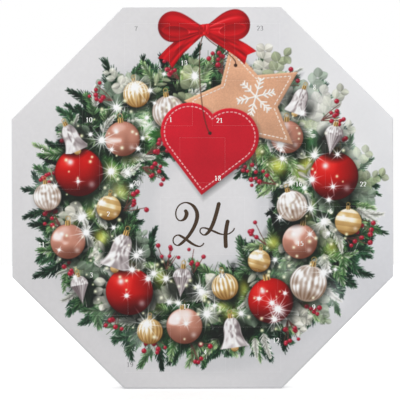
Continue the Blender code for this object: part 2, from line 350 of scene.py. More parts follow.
def paint_fir(rng):
    """The ring of fir, with gloom between its layers."""
    for count, inner, outer, length, reach, width, dark, light, frost, gloom in fir_layers:
        foot, bearing, radius = ring_places(rng, count, inner, outer)
        lean = 2 * (radius - ring_radius) / (outer - inner) + rng.normal(0, lean_spread, count)
        sweep = np.where(rng.random(count) < swept_share, 1, -1)
        heading = bearing - sweep * (math.pi / 2 - np.clip(lean, *lean_limits))
        lay_twigs(rng, foot, heading, rng.uniform(*twig_scales, count) * length,
                  rng.uniform(*reach_scales, count) * reach, width, dark, light, frost)
        area, dx, dy = patch(0, 0, sheet_half)
        hollow = ramp(smooth_noise(area.shape, hollow_cell, rng), *hollow_levels)
        cover(area, deep_shade, gloom * hollow * ramp(from_middle(dx, dy), *hollow_fade))


def paint_fringe(rng, start, end, count, inner, outer):
    """More twigs along a part of the ring's outer edge, where it is thick."""
    first, span = math.radians(start), math.radians(end - start)
    foot, bearing, _ = ring_places(rng, count, inner, outer, first, span)
    heading = bearing + rng.choice((-1, 1), count) * rng.uniform(*fringe_lean, count)
    length, reach = rng.uniform(*fringe_length, count), rng.uniform(*fringe_reach, count)
    lay_twigs(rng, foot, heading, length, reach, fringe_needle, *fringe_tint, fringe_frost)


def paint_wisps(rng):
    """Single long needles and bare stalks that stand out past the fir on both sides."""
    foot, bearing, radius = ring_places(rng, wisp_count, *wisp_radii)
    outward = np.where(radius > ring_radius, 0, math.pi)
    tint = mixed(*wisp_tint, rng.random(wisp_count))
    heading = bearing + outward + rng.normal(0, wisp_lean, wisp_count)
    bend, length = rng.normal(0, wisp_bend, wisp_count), rng.uniform(*wisp_lengths, wisp_count)
    lay_strokes(foot, heading, bend, length, wisp_width, tint, tint * wisp_tip_shade, wisp_taper)


rng = np.random.default_rng(24)
edge_rng = np.random.default_rng(12)
paint_ground(rng)
paint_wisps(rng)
for fringe in fringes:
    paint_fringe(edge_rng, *fringe)
paint_fir(rng)
print("fir painted from", sum(layer[0] for layer in fir_layers), "twigs")

# %% [markdown]
# Pools of warm light, pale leafy sprigs and red berries go between the twigs. A leaf is an oval
# round a rib with one half in the light. A berry is a ball, so the painter of turned shapes
# comes first: it works out which way each dot of a turned shape faces, and shades it by that.

# %% Turned shapes
key_light = np.array((-0.42, 0.55, 0.72))
key_light /= np.linalg.norm(key_light)
profile_steps = 401
bell_waist, bell_dome, bell_flare = 0.1, 0.56, 2.2
drop_belly, drop_width, drop_taper = 0.35, 0.62, 1.25
mirror_dots, mirror_cell, mirror_blur, mirror_grey = 80, 11, 30, 0.55
gleam_start, gleam_reach = 0.84, 0.60
rib_depth, band_depth, band_slant = 0.24, 0.12, 0.15
rim_depth, rim_start = 0.45, 0.30
# The fir that a shiny shape mirrors in its lower part: how dark, from where to where, how patchy
fir_depth, fir_heights, fir_patchiness = 0.30, (-0.10, -0.60), 0.6
# The lamps' images in a shiny shape: where they are, how strong and how wide
glints = ((-0.36, 0.42, 0.90, 0.1265), (0.52, -0.50, 0.45, 0.1414))


def round_profile(height):
    """A ball's half width."""
    return np.sqrt(np.clip(1 - height ** 2, 0, 1))


def bell_profile(height):
    """A bell's half width: a dome that flares to a lip at the bottom."""
    dome = bell_dome * np.sqrt(np.clip(1 - ((height - bell_waist) / (1 - bell_waist)) ** 2, 0, 1))
    flare = bell_dome + (1 - bell_dome) * ramp(height, bell_waist, -1) ** bell_flare
    return np.where(height > bell_waist, dome, flare)


def drop_profile(height):
    """A drop's half width: round above, drawn out to a point below."""
    upper = drop_width * np.sqrt(np.clip(1 - ((height - drop_belly) / (1 - drop_belly)) ** 2, 0, 1))
    lower = drop_width * ramp(height, -1, drop_belly) ** drop_taper
    return np.where(height > drop_belly, upper, np.minimum(lower, drop_width))


def mirrored(rng, out_x, out_y, ahead, mirror):
    """What a shiny shape shows of a cloudy room, from 0 to 1."""
    room = smooth_noise((mirror_dots, mirror_dots), mirror_cell + mirror_blur * (1 - mirror), rng)
    room = (room - room.min()) / (room.max() - room.min())
    places = ((2 * ahead * out + 1) * mirror_dots / 2 for out in (out_y, out_x))
    row, column = (np.clip(place, 0, mirror_dots - 1).astype(int) for place in places)
    return room[row, column]


def paint_turned(rng, x, y, radius, profile, tints, tilt=0.0, contrast=0.5, mirror=0.1, bloom=1.0,
                 ribs=0, rings=0):
    """Paint a shiny turned shape: its tints, how fast it darkens, how much it mirrors and blooms."""
    area, dx, dy = patch(x, y, radius * 1.1)
    across, height = turned(dx / radius, dy / radius, tilt)
    table = np.linspace(-1, 1, profile_steps)
    half = np.interp(height, table, profile(table), left=0, right=0)
    steep = np.interp(height, table, np.gradient(profile(table), table))
    turn = np.clip(across / np.maximum(half, 1e-3), -1, 1)
    level = 1 / np.sqrt(1 + steep ** 2)
    side, up, ahead = level * turn, -steep * level, level * np.sqrt(1 - turn ** 2)
    out_x, out_y = turned(side, up, -tilt)
    facing = out_x * key_light[0] + out_y * key_light[1] + ahead * key_light[2]
    seen = mirrored(rng, out_x, out_y, ahead, mirror)
    fir_seen = ramp(out_y, *fir_heights) * (1 - fir_patchiness * (1 - seen))
    tone = 1 - contrast * (1 - facing) + mirror * (seen - mirror_grey) - fir_depth * fir_seen
    tone = tone + rib_depth * np.sin(np.arcsin(turn) * ribs) * level
    tone = tone + band_depth * np.sign(np.sin((height + band_slant * across) * rings))
    tint = toned(tints, tone, ramp(tone, gleam_start, gleam_start + gleam_reach / bloom))
    tint *= 1 - rim_depth * ramp(ahead, rim_start, 0)[..., None]
    for glint_x, glint_y, strength, width in glints:
        shine(tint, (1, 1, 1), strength * band(np.hypot(out_x - glint_x, out_y - glint_y), width))
    within = inside((np.abs(across) - half) * radius, 0.4) * (np.abs(height) <= 1)
    cover(area, np.clip(tint, 0, 1), within)


print("turned shapes are lit from", key_light.round(2))

# %% Lights, leaves and berries
berry_red = ((0.34, 0.02, 0.08), (0.68, 0.10, 0.19), (0.95, 0.60, 0.64))
berry_white = ((0.66, 0.66, 0.60), (0.90, 0.91, 0.86), (1.00, 1.00, 1.00))
leaf_tints = np.array(((0.58, 0.62, 0.54), (0.73, 0.74, 0.67), (0.62, 0.66, 0.52), (0.82, 0.81, 0.76),
                       (0.50, 0.57, 0.49), (0.90, 0.89, 0.84)))
white_berry_share, white_berry_radius, white_berry_spread = 0.4, 1.7, 1.6
bunch_sizes, bunch_spread, bunch_lean, berry_radii = (5, 9), (-0.65, 0.65), 0.5, (1.7, 2.6)
berry_twig, berry_twig_lengths, berry_twig_width = (0.38, 0.22, 0.20), (9, 25), 0.45
berry_twig_bend, berry_twig_taper = 0.3, 0.2
# A leaf's outline and tone: its fullness, its level, the two sides of its fold, the rise to its tip
leaf_fullness, leaf_level, leaf_fold, leaf_rise = 0.7, 0.90, 0.14, 0.24
leaf_rib, leaf_rib_width, leaf_edge, leaf_edge_width = 0.14, 0.5, 0.16, 0.8
# A sprig's leaves: their spacing, the twig's bend and taper, and the ranges that they vary in
leaf_spacing, sprig_bend, sprig_taper, slim_limit = 0.62, 0.25, 0.5, 0.6
leaf_sizes, leaf_leans, leaf_widths = (0.85, 1.15), (0.5, 1.2), (0.8, 1.1)
leaf_tones, leaf_opacities = (0.86, 1.14), (0.72, 0.95)
# Pools of light: how many, inner and outer radius, reach, tint and strength
pools = (
    (16, 74, 130, (9, 16), (0.20, 0.62, 0.18), (0.20, 0.38)),
    (44, 72, 134, (3, 9), (0.85, 0.86, 0.32), (0.5, 0.85)),
    (9, 80, 138, (10, 18), (0.94, 0.94, 0.91), (0.24, 0.42)),
)
# Sprigs: their draws, how many, inner and outer radius, first bearing and span, spread of their
# headings, length of a leaf, pairs of leaves and roundness
sprigs = (
    (rng, 15, 74, 132, 0.0, math.tau, 0.9, 13, 3, 0.42),
    (rng, 30, 76, 138, 0.0, math.tau, 1.0, 12, 4, 0.86),
    (edge_rng, 13, 112, 140, math.radians(10), math.radians(58), 0.8, 14, 4, 0.90),
)
# Bunches of berries: how many, inner and outer radius, and which way they point
bunches = ((17, 126, 138, 0.0), (9, 66, 74, math.pi))
# Bearing, radius and reach of the patches where the fir fades into haze
misty_places = ((34, 140, 17), (48, 146, 20), (20, 148, 14), (-38, 146, 13), (-112, 142, 12),
                (172, 142, 12))
haze, haze_strength = (0.93, 0.94, 0.95), 0.55


def paint_glow(x, y, reach, tint, strength):
    """A soft pool of light."""
    area, dx, dy = patch(x, y, reach * 2.4)
    shine(area, tint, strength * band(np.hypot(dx, dy), reach))


def paint_leaf(x, y, heading, length, width, tint, opacity):
    """An oval leaf with a lighter rib, thin enough to let some of what is under it through."""
    area, dx, dy = patch(*moved(x, y, heading, length / 2), length * 0.62)
    along, across = turned(dx, dy, heading)
    along = along / length + 0.5
    half = width / 2 * np.sin(np.clip(along, 0, 1) * math.pi) ** leaf_fullness
    lit_side = turned(*print_light, heading)[1]
    shade = leaf_level + leaf_fold * np.tanh(across / width * 6) * lit_side + leaf_rise * (along - 0.5)
    shade += leaf_rib * band(across, leaf_rib_width)
    shade -= leaf_edge * band(half - np.abs(across), leaf_edge_width)
    within = inside(np.abs(across) - half, 0.5) * ((along > 0) & (along < 1))
    cover(area, np.clip(np.asarray(tint) * shade[..., None], 0, 1), within * opacity)


def paint_sprig(rng, x, y, heading, leaf_length, pairs, roundness):
    """A sprig of paired pale leaves, with white berries where some pairs of slim leaves meet."""
    tint = leaf_tints[rng.integers(len(leaf_tints))]
    for pair in range(pairs):
        x, y = moved(x, y, heading, leaf_spacing * leaf_length)
        heading += rng.normal(0, sprig_bend)
        size = leaf_length * (1 - sprig_taper * pair / pairs) * rng.uniform(*leaf_sizes)
        for side in (-1, 1):
            leaf_heading = heading + side * rng.uniform(*leaf_leans)
            paint_leaf(x, y, leaf_heading, size, size * roundness * rng.uniform(*leaf_widths),
                       tint * rng.uniform(*leaf_tones), rng.uniform(*leaf_opacities))
        if roundness < slim_limit and rng.random() < white_berry_share:
            for shift_x, shift_y in rng.normal(0, white_berry_spread, (2, 2)):
                paint_turned(rng, x + shift_x, y + shift_y, white_berry_radius, round_profile, berry_white)


def paint_berries(rng, x, y, heading):
    """A bunch of red berries on thin twigs."""
    count = int(rng.integers(*bunch_sizes))
    spread = heading + rng.uniform(*bunch_spread, count)
    length = rng.uniform(*berry_twig_lengths, count)
    lay_strokes((x, y), spread, rng.normal(0, berry_twig_bend, count), length, berry_twig_width,
                berry_twig, berry_twig, berry_twig_taper)
    for turn, reach in zip(spread, length):
        paint_turned(rng, *moved(x, y, turn, reach), rng.uniform(*berry_radii), round_profile, berry_red)


for count, inner, outer, reach, tint, strength in pools:
    for foot in ring_places(rng, count, inner, outer)[0]:
        paint_glow(*foot, rng.uniform(*reach), tint, rng.uniform(*strength))
for draws, count, inner, outer, first, span, spread, *leaves in sprigs:
    for foot, bearing, _ in zip(*ring_places(draws, count, inner, outer, first, span)):
        paint_sprig(draws, *foot, bearing + draws.normal(0, spread), *leaves)
for bearing, radius, reach in misty_places:
    paint_glow(*on_ring(math.radians(bearing), radius), reach, haze, haze_strength)
for count, inner, outer, flip in bunches:
    for foot, bearing, _ in zip(*ring_places(rng, count, inner, outer)):
        paint_berries(rng, *foot, bearing + flip + rng.normal(0, bunch_lean))
print("lights, leaves and berries painted")

# %% [markdown]
# The ornaments are placed one by one on the ring, each by a bearing and an offset from the
# ring's middle. Plain balls, bells and ribbed drops are shapes that any maker of such prints
# uses. Each throws a shadow on the fir and hangs from a small cap and ring.

# %% Ornaments
red_tints = ((0.24, 0.00, 0.01), (0.83, 0.08, 0.07), (1.00, 0.44, 0.36))
copper_tints = ((0.40, 0.22, 0.17), (0.80, 0.57, 0.49), (0.98, 0.91, 0.90))
gold_tints = ((0.44, 0.29, 0.12), (0.86, 0.73, 0.49), (1.00, 0.98, 0.93))
silver_tints = ((0.30, 0.25, 0.26), (0.80, 0.77, 0.77), (1.00, 1.00, 1.00))
glass_tints = ((0.46, 0.35, 0.27), (0.85, 0.82, 0.80), (1.00, 1.00, 1.00))
cap_gold = np.array((0.80, 0.64, 0.38))
# The cap's width and seat are shares of the ornament's radius, and the rest of that width
cap_width, cap_seat, cap_lift, cap_half, cap_ridges = 0.30, 0.97, 0.25, (0.5, 0.45), 14
hanger_lift, hanger_radius = 1.15, 0.42
hanger_wire = 0.30
clapper_share = 0.26
shadow_shift, shadow_fade = (0.12, -0.16), (1.38, 0.93)
shadow_on_paper, shadow_on_fir, fir_edge = 0.12, 0.75, (1.0, 0.7)
ornament_looks = {
    # profile, tints, how fast it darkens, how much it mirrors, how wide it gleams, ribs, rings
    "red": (round_profile, red_tints, 0.78, 0.22, 1.0, 0, 0),
    "copper": (round_profile, copper_tints, 0.56, 0.45, 2.6, 0, 0),
    "gold": (round_profile, gold_tints, 0.48, 0.40, 2.4, 18, 0),
    "banded": (round_profile, gold_tints, 0.45, 0.30, 2.0, 0, 9),
    "glass": (round_profile, glass_tints, 0.36, 0.90, 1.6, 20, 0),
    "bell": (bell_profile, silver_tints, 0.46, 1.00, 1.2, 0, 0),
    "drop": (drop_profile, silver_tints, 0.42, 0.85, 1.2, 22, 0),
}
ornaments = (
    # look, bearing in degrees, offset from the ring's middle, radius, tilt in degrees
    ("red", 163, 14, 23.5, 12), ("red", 232, 5, 23.0, -8), ("red", 303, 10, 22.0, 10),
    ("red", 14, 20, 23.5, -6), ("red", 66, 18, 19.5, 14),
    ("copper", 137, -4, 17.0, 6), ("copper", 196, 24, 17.0, 0), ("copper", 262, 18, 17.5, 4),
    ("copper", 338, -8, 17.0, -10), ("copper", 42, 0, 16.0, 0),
    ("gold", 118, 24, 13.0, 10), ("banded", 181, -18, 12.0, -6), ("gold", 249, 31, 12.5, 0),
    ("gold", 284, -20, 13.0, 12), ("banded", 353, 30, 13.0, 0), ("gold", 84, -6, 12.0, -6),
    ("bell", 150, 34, 14.0, 24), ("bell", 211, -16, 17.5, -18), ("bell", 282, 26, 15.0, 8),
    ("glass", 321, 20, 18.0, -14), ("glass", 0, -22, 15.0, 16), ("bell", 50, 34, 13.0, -20),
    ("glass", 108, -4, 16.0, 8), ("drop", 29, 32, 15.0, -12), ("drop", 217, 36, 14.0, 10),
    ("drop", 256, -24, 15.0, -6), ("banded", 313, -28, 11.0, -8), ("glass", 176, 38, 13.5, 8),
)


def cast_shadow(x, y, radius):
    """The shadow of an ornament on the fir under it, which is fainter on the paper beyond."""
    x, y = x + shadow_shift[0] * radius, y + shadow_shift[1] * radius
    area, dx, dy = patch(x, y, radius * 1.5)
    fir_share = ramp(from_middle(x + dx, y + dy), *fir_edge)
    depth = shadow_on_paper + (shadow_on_fir - shadow_on_paper) * fir_share
    cover(area, deep_shade, depth * ramp(np.hypot(dx, dy) / radius, *shadow_fade))


def paint_cap(x, y, radius, tilt):
    """The small metal cap and ring that an ornament hangs from."""
    up, width = tilt + math.pi / 2, radius * cap_width
    foot = moved(x, y, up, radius * cap_seat)
    area, dx, dy = patch(*moved(*foot, up, width * hanger_lift), width)
    from_wire = np.abs(np.hypot(dx, dy) - width * hanger_radius) - hanger_wire
    cover(area, cap_gold * 0.9, inside(from_wire))
    area, dx, dy = patch(*moved(*foot, up, width * cap_lift), width * 1.4)
    across, height = turned(dx, dy, tilt)
    ridge = 0.75 + 0.35 * np.cos(across / width * cap_ridges) - 0.3 * across / width
    box = np.maximum(np.abs(across) - width * cap_half[0], np.abs(height) - width * cap_half[1])
    cover(area, np.clip(cap_gold * ridge[..., None], 0, 1), inside(box))


def paint_ornament(rng, look, bearing, offset, radius, tilt):
    """One ornament of the ring."""
    tilt = math.radians(tilt)
    x, y = on_ring(math.radians(bearing), ring_radius + offset)
    profile, tints, *finish = ornament_looks[look]
    cast_shadow(x, y, radius)
    if look == "bell":
        clapper = moved(x, y, tilt - math.pi / 2, radius)
        paint_turned(rng, *clapper, radius * clapper_share, round_profile, gold_tints, tilt)
    paint_turned(rng, x, y, radius, profile, tints, tilt, *finish)
    paint_cap(x, y, radius, tilt)


for ornament in ornaments:
    paint_ornament(rng, *ornament)
print(len(ornaments), "ornaments painted")

# %% [markdown]
# Small lamps and bright stars with thin rays come over the ornaments, as a photographer's
# star filter puts them there.

# %% Sparkles
# A sparkle's core and halo, their reach as shares of its own, and its rays
core_share, core_least, halo_share, halo_light = 0.055, 0.5, 0.28, 0.26
short_ray, ray_sway, ray_lengths = 0.55, 0.05, (0.8, 1.05)
ray_light, ray_fade, ray_spread, ray_least = 1.05, 0.8, 0.30, 0.18
lamp_count, lamp_radii, lamp_reach = 170, (66, 140), (0.8, 1.8)
lamp_tint, lamp_strength = (1.0, 1.0, 0.80), 0.95
# Sparkles: how many, inner and outer radius, reach and numbers of rays
sparkles = ((56, 66, 138, (5, 13), (8, 12, 16)), (22, 76, 134, (15, 25), (12, 16, 20)))


def paint_sparkle(rng, x, y, reach, rays):
    """Thin white rays round a bright point."""
    area, dx, dy = patch(x, y, reach * 1.1)
    away = np.hypot(dx, dy)
    light = band(away, core_share * reach + core_least) + halo_light * band(away, halo_share * reach)
    start = rng.uniform(0, math.pi)
    for ray in range(rays):
        turn = start + ray * math.tau / rays + rng.normal(0, ray_sway)
        length = reach * (1.0 if ray % 2 == 0 else short_ray) * rng.uniform(*ray_lengths)
        along, across = turned(dx, dy, turn)
        fade = ramp(along, length, 0) * (along > 0)
        light = light + ray_light * fade ** ray_fade * band(across, ray_spread * fade + ray_least)
    shine(area, (1, 1, 1), light)


for foot in ring_places(rng, lamp_count, *lamp_radii)[0]:
    paint_glow(*foot, rng.uniform(*lamp_reach), lamp_tint, lamp_strength)
for count, inner, outer, reach, rays in sparkles:
    for foot in ring_places(rng, count, inner, outer)[0]:
        paint_sparkle(rng, *foot, rng.uniform(*reach), int(rng.choice(rays)))
print(lamp_count, "lamps and", sum(size[0] for size in sparkles), "sparkles painted")

# %% [markdown]
# A paper star and a felt heart hang into the ring on cords from a satin bow. The star and the
# heart are outlines with a distance rule, so a rim, a hem and a row of stitches are bands of
# that distance. The bow is made of ribbons: wide bands along curves, with stretched noise for
# the folds.

# %% Star and heart
kraft = np.array((0.79, 0.60, 0.48))
felt = np.array((0.715, 0.085, 0.15))
star_centre, star_radius, star_turn = (42.0, 90.0), 60.0, math.radians(14)
star_notch, star_reach = 0.52, 66
heart_centre, heart_side, heart_turn = (5.0, 46.0), 56.0, math.radians(-8)
heart_drop, heart_reach = 0.78, 64
paper_fibre, felt_fibre, fibre_cell, cloud_cell = 0.10, 0.06, 3, 60
hem_shade, hem_width, broad_shade = 0.16, 1.2, 0.10
cord_brown = np.array((0.30, 0.18, 0.12), np.float32)
star_thread, heart_thread = (0.97, 0.93, 0.88), (0.99, 0.80, 0.78)
seam_inset, stitch_length, stitch_pitch, stitch_width = 3.6, 2.5, 4.1, 0.6
seam_bearings, seam_depths = 1440, 1200
cutout_shadow, cutout_depth, cutout_shift, cutout_blur = (0.20, 0.20, 0.20), 0.5, (2.0, -3.0), 7


def star_distance(dx, dy):
    """Distance past the five-pointed star's outline."""
    fifth = math.tau / 5
    bearing = np.arctan2(dy, dx) - star_turn - math.pi / 2
    folded = np.abs((bearing + fifth / 2) % fifth - fifth / 2)
    away = np.hypot(dx, dy)
    notch = star_notch * star_radius * np.array((math.cos(fifth / 2), math.sin(fifth / 2)))
    edge = notch - np.array((star_radius, 0))
    outward = np.array((edge[1], -edge[0])) / np.hypot(*edge)
    return (away * np.cos(folded) - star_radius) * outward[0] + away * np.sin(folded) * outward[1]


def heart_distance(dx, dy):
    """Distance past the heart's outline: a square on its corner with two round lobes."""
    x, y = turned(dx, dy, heart_turn)
    y, side = y + heart_drop * heart_side, heart_side
    u, v = (y + x) / math.sqrt(2), (y - x) / math.sqrt(2)
    square = np.maximum(np.abs(u - side / 2), np.abs(v - side / 2)) - side / 2
    lobes = np.minimum(np.hypot(u - side, v - side / 2), np.hypot(u - side / 2, v - side)) - side / 2
    return np.minimum(square, lobes)


def sew(centre, reach, distance_of, thread):
    """A row of even stitches that follows an outline inside its edge."""
    bearing, away = np.linspace(0, math.tau, seam_bearings), np.linspace(0, reach, seam_depths)
    x, y = np.cos(bearing)[:, None] * away, np.sin(bearing)[:, None] * away
    beyond = (distance_of(x, y) < -seam_inset)[:, ::-1].argmax(1)
    seam = away[::-1][beyond][:, None] * np.stack((np.cos(bearing), np.sin(bearing)), -1) + centre
    walked = np.append(0, np.hypot(*np.diff(seam, axis=0).T).cumsum())
    start = np.arange(0, walked[-1] - stitch_length, stitch_pitch)
    foot, tip = (np.stack([np.interp(mark, walked, seam[:, axis]) for axis in (0, 1)], -1)
                 for mark in (start, start + stitch_length))
    step_x, step_y = (tip - foot).T
    lay_strokes(foot, np.arctan2(step_y, step_x), 0.0, np.hypot(step_x, step_y), stitch_width,
                thread, thread, 0.0)


def paint_cutout(rng, centre, reach, distance_of, tint, thread, fibre):
    """A flat cut-out piece with a shadow, a soft rim and a row of stitches inside its edge."""
    area, dx, dy = patch(centre[0] + cutout_shift[0], centre[1] + cutout_shift[1], reach)
    cover(area, cutout_shadow, cutout_depth * inside(distance_of(dx, dy), cutout_blur))
    area, dx, dy = patch(*centre, reach)
    distance = distance_of(dx, dy)
    slope_y, slope_x = np.gradient(distance)
    lit = -(slope_x * print_light[0] - slope_y * print_light[1]) * dots_per_mm
    texture = smooth_noise(area.shape, fibre_cell, rng) + smooth_noise(area.shape, cloud_cell, rng) - 1
    broad_light = (dx * print_light[0] + dy * print_light[1]) / reach
    shade = 1 + fibre * texture - hem_shade * lit * band(distance, hem_width) + broad_shade * broad_light
    cover(area, np.clip(tint * shade[..., None], 0, 1), inside(distance))
    sew(centre, reach, distance_of, thread)


paint_cutout(rng, star_centre, star_reach, star_distance, kraft, star_thread, paper_fibre)
paint_cutout(rng, heart_centre, heart_reach, heart_distance, felt, heart_thread, felt_fibre)
print("star and heart painted")

# %% Snow crystal on the star
crystal_centre, crystal_reach = (52.0, 98.0), 18.5
crystal_white, crystal_line, crystal_taper = (0.97, 0.94, 0.90), 1.3, 0.2
crystal_twig_shares, crystal_twig_length, crystal_twig_shrink = (0.4, 0.65, 0.85), 0.374, 0.17


def paint_crystal():
    """A six-armed snow crystal of white strokes."""
    strokes = []
    for arm in np.arange(6) * math.tau / 6 + star_turn:
        strokes.append((*crystal_centre, arm, crystal_reach))
        for share in crystal_twig_shares:
            foot = moved(*crystal_centre, arm, share * crystal_reach)
            twig = crystal_reach * (crystal_twig_length - crystal_twig_shrink * share)
            strokes += [(*foot, arm + side * math.pi / 4, twig) for side in (-1, 1)]
    x, y, heading, length = np.array(strokes).T
    lay_strokes(np.stack((x, y), -1), heading, 0.0, length, crystal_line, crystal_white, crystal_white,
                crystal_taper)


paint_crystal()
print("snow crystal painted")

# %% Bow and cords
knot = np.array((2.0, 163.0))
ribbon_tints = ((0.38, 0.00, 0.03), (0.84, 0.07, 0.11), (1.00, 0.52, 0.50))
ribbon_steps, ribbon_lanes = 420, 110
# Satin: the stretch and width of its folds, its tone, its woven edge and its gleam
fold_stretch, fold_cell = 6, 15
satin_tone, satin_folds, satin_sides = 0.22, 0.76, 0.22
woven_light, woven_lane, woven_width = 0.20, 0.86, 0.05
satin_gain, satin_gleam = 1.15, (0.85, 1.35)
bow_unit = 44.0
loop_length, loop_half, loop_folds = 45.0, 15.0, 12
loop_belly, loop_throat, loop_swell = 0.68, 0.20, 1.4
opening_middle, opening_half = (0.60, -0.28), (0.27, 0.34)
loops = ((-1, 0.10), (1, 0.16))
cord_steps, cord_strands = 600, ((-0.35, 0.8), (0.0, 1.25), (0.35, 0.65))
cord_start, cord_slack = knot + np.array((0, -4)), 10
eye_brown, eye_radius = (0.18, 0.11, 0.08), 1.7
# What hangs on the cords: its middle, its turn, how far up its eye is, and the cord's sag
hangings = ((star_centre, star_turn, 0.66 * star_radius, 3.0),
            (heart_centre, heart_turn, 0.30 * heart_side, -9.0))
# Guide points round the knot of the two tails and of the knot's own wrap, and their widths
tail_shares = (
    ((-0.05, -0.05), (-0.30, -0.22), (-0.55, -0.30), (-0.86, -0.74)),
    ((0.05, -0.05), (0.30, -0.24), (0.62, -0.26), (1.02, -0.62)),
)
wrap_share = ((0.0, -0.13), (-0.01, -0.05), (0.01, 0.05), (0.0, 0.12))
tail_widths, tail_brightness, tail_notch = (3.0, 6.5, 8.5), -0.04, 0.06
wrap_widths, wrap_brightness = (4.6, 5.6, 4.6), 0.10


def curve(points, steps):
    """A smooth cubic curve through four guide points."""
    share = np.linspace(0, 1, steps)[:, None]
    first, second, third, last = (np.asarray(point, float) for point in points)
    return ((1 - share) ** 3 * first + 3 * (1 - share) ** 2 * share * second
            + 3 * (1 - share) * share ** 2 * third + share ** 3 * last)


def from_knot(*shares):
    """Guide points round the knot, as shares of the bow's unit."""
    return [knot + bow_unit * np.array(share) for share in shares]


def lay_ribbon(rng, shares, widths, brightness, notch=0.0):
    """A satin ribbon along a curve, with folds that run along it and a woven edge."""
    path, share = curve(from_knot(*shares), ribbon_steps), np.linspace(0, 1, ribbon_steps)
    way = np.gradient(path, axis=0)
    way /= np.hypot(way[:, 0], way[:, 1])[:, None]
    lane = np.linspace(-1, 1, ribbon_lanes)
    half = np.interp(share, np.linspace(0, 1, len(widths)), widths)[:, None] * lane
    x, y = path[:, 0, None] - way[:, 1, None] * half, path[:, 1, None] + way[:, 0, None] * half
    folds = smooth_noise((ribbon_steps // fold_stretch, ribbon_lanes), fold_cell, rng)
    tone = satin_tone + satin_folds * np.repeat(folds, fold_stretch, 0) + brightness
    tone += woven_light * band(np.abs(lane) - woven_lane, woven_width) - satin_sides * lane ** 4
    tint = toned(ribbon_tints, tone * satin_gain, ramp(tone, *satin_gleam))
    kept = share[:, None] < 1 - notch * (1 - np.abs(lane))
    drop_dots(x[kept], y[kept], tint[kept])


def paint_loop(rng, side, tilt):
    """One loop of the bow: a full band of ribbon whose inner side shows in its opening."""
    area, dx, dy = patch(knot[0] + side * loop_length / 2, knot[1], loop_length * 0.75)
    along, across = turned((dx + side * loop_length / 2) * side, dy, tilt)
    along, across = along / loop_length, across / loop_half
    rise = np.sin(ramp(along, 0, loop_belly) * math.pi / 2) ** loop_swell
    half = (loop_throat + (1 - loop_throat) * rise) * np.sqrt(1 - ramp(along, loop_belly, 1) ** 2)
    lane = np.clip(across / np.maximum(half, 0.02), -1, 1)
    folds = np.interp(lane, np.linspace(-1, 1, loop_folds), rng.random(loop_folds)) - 0.5
    tone = 0.62 + 0.95 * folds * np.clip(1.25 - along, 0, 1) + 0.18 * lane - 0.25 * lane ** 4
    tone = tone - 0.55 * ramp(along, 0.70, 1) ** 2 - 0.5 * band(along, 0.10)
    opening = np.hypot((along - opening_middle[0]) / opening_half[0],
                       (across - opening_middle[1]) / opening_half[1]) - 1
    hollow = 0.34 + 0.34 * ramp(across, -0.12, -0.62) + 0.30 * folds
    woven = 0.10 * np.sin(along * 260) * np.sin(across * 90)
    edge = band(opening - 0.07, 0.05) + 0.7 * band(half - np.abs(across) - 0.10, 0.035)
    tone = np.where(opening < 0, hollow, tone + 0.22 * edge) + woven
    within = inside((np.abs(across) - half) * loop_half, 0.5) * ((along > 0) & (along < 1))
    cover(area, toned(ribbon_tints, tone * 1.1, ramp(tone, 0.82, 1.32)), within)


def paint_cord(start, end, sag):
    """A thin cord between two places."""
    guides = (start, (start[0] + sag, start[1] - cord_slack), (end[0] + sag, end[1] + cord_slack), end)
    path = curve(guides, cord_steps)
    for shift, tone in cord_strands:
        drop_dots(path[:, 0] + shift, path[:, 1], np.broadcast_to(cord_brown * tone, (cord_steps, 3)))


for middle, turn, up, sag in hangings:
    eye = moved(*middle, turn + math.pi / 2, up)
    area, dx, dy = patch(*eye, 2 * eye_radius)
    cover(area, eye_brown, inside(np.hypot(dx, dy) - eye_radius))
    paint_cord(cord_start, eye, sag)

for tail in tail_shares:
    lay_ribbon(rng, tail, tail_widths, tail_brightness, tail_notch)
for loop in loops:
    paint_loop(rng, *loop)
lay_ribbon(rng, wrap_share, wrap_widths, wrap_brightness)
print("cords and bow painted")

# %% [markdown]
# The sheet is finished. Print is made of coloured vertices: the sheet is averaged to two dots a
# millimetre, its brightest tones are held down to what ink on board can show, and it is turned
# from display values into linear light and looked up at each vertex.

# %% Hand the sheet to a mesh
coarse_dots_per_mm = dots_per_mm // 2
paling_limit = 0.85
bright_knee, bright_slope = 0.84, 0.55
coarse_sheet = sheet.reshape(sheet_dots // 2, 2, sheet_dots // 2, 2, 3).mean((1, 3))
coarse_sheet -= (1 - bright_slope) * np.clip(coarse_sheet - bright_knee, 0, None)


def sheet_colour(x, z):
    """Display colours of the print at places in the row's metres."""
    last = len(coarse_sheet) - 1.001
    column, row = (np.clip((place / mm + sheet_half) * coarse_dots_per_mm - 0.5, 0, last)
                   for place in (x, half_side - z))
    left, top = column.astype(int), row.astype(int)
    along, down = (column - left)[:, None], (row - top)[:, None]
    upper = coarse_sheet[top, left] * (1 - along) + coarse_sheet[top, left + 1] * along
    lower = coarse_sheet[top + 1, left] * (1 - along) + coarse_sheet[top + 1, left + 1] * along
    return upper * (1 - down) + lower * down


def linear_light(display):
    """Display values as linear light."""
    display = np.clip(display, 0, 1)
    return np.where(display <= 0.04045, display / 12.92, ((display + 0.055) / 1.055) ** 2.4)


def ink_vertices(mesh, paler_by=None):
    """Give a mesh the colour attribute that the print's material reads, painted paler where pressed."""
    places = np.zeros(len(mesh.vertices) * 3, np.float32)
    mesh.vertices.foreach_get("co", places)
    places = places.reshape(-1, 3)
    colours = np.ones((len(places), 4), np.float32)
    colours[:, :3] = linear_light(sheet_colour(places[:, 0], places[:, 2]))
    # Pressed places are painted paler: paler pressed paper and a painted highlight on the dent
    if paler_by:
        colours[:, :3] = np.minimum(colours[:, :3] + paler_by(places[:, 0])[:, None], paling_limit)
    layer = mesh.color_attributes.new(name="ink", type="FLOAT_COLOR", domain="POINT")
    layer.data.foreach_set("color", colours.ravel())


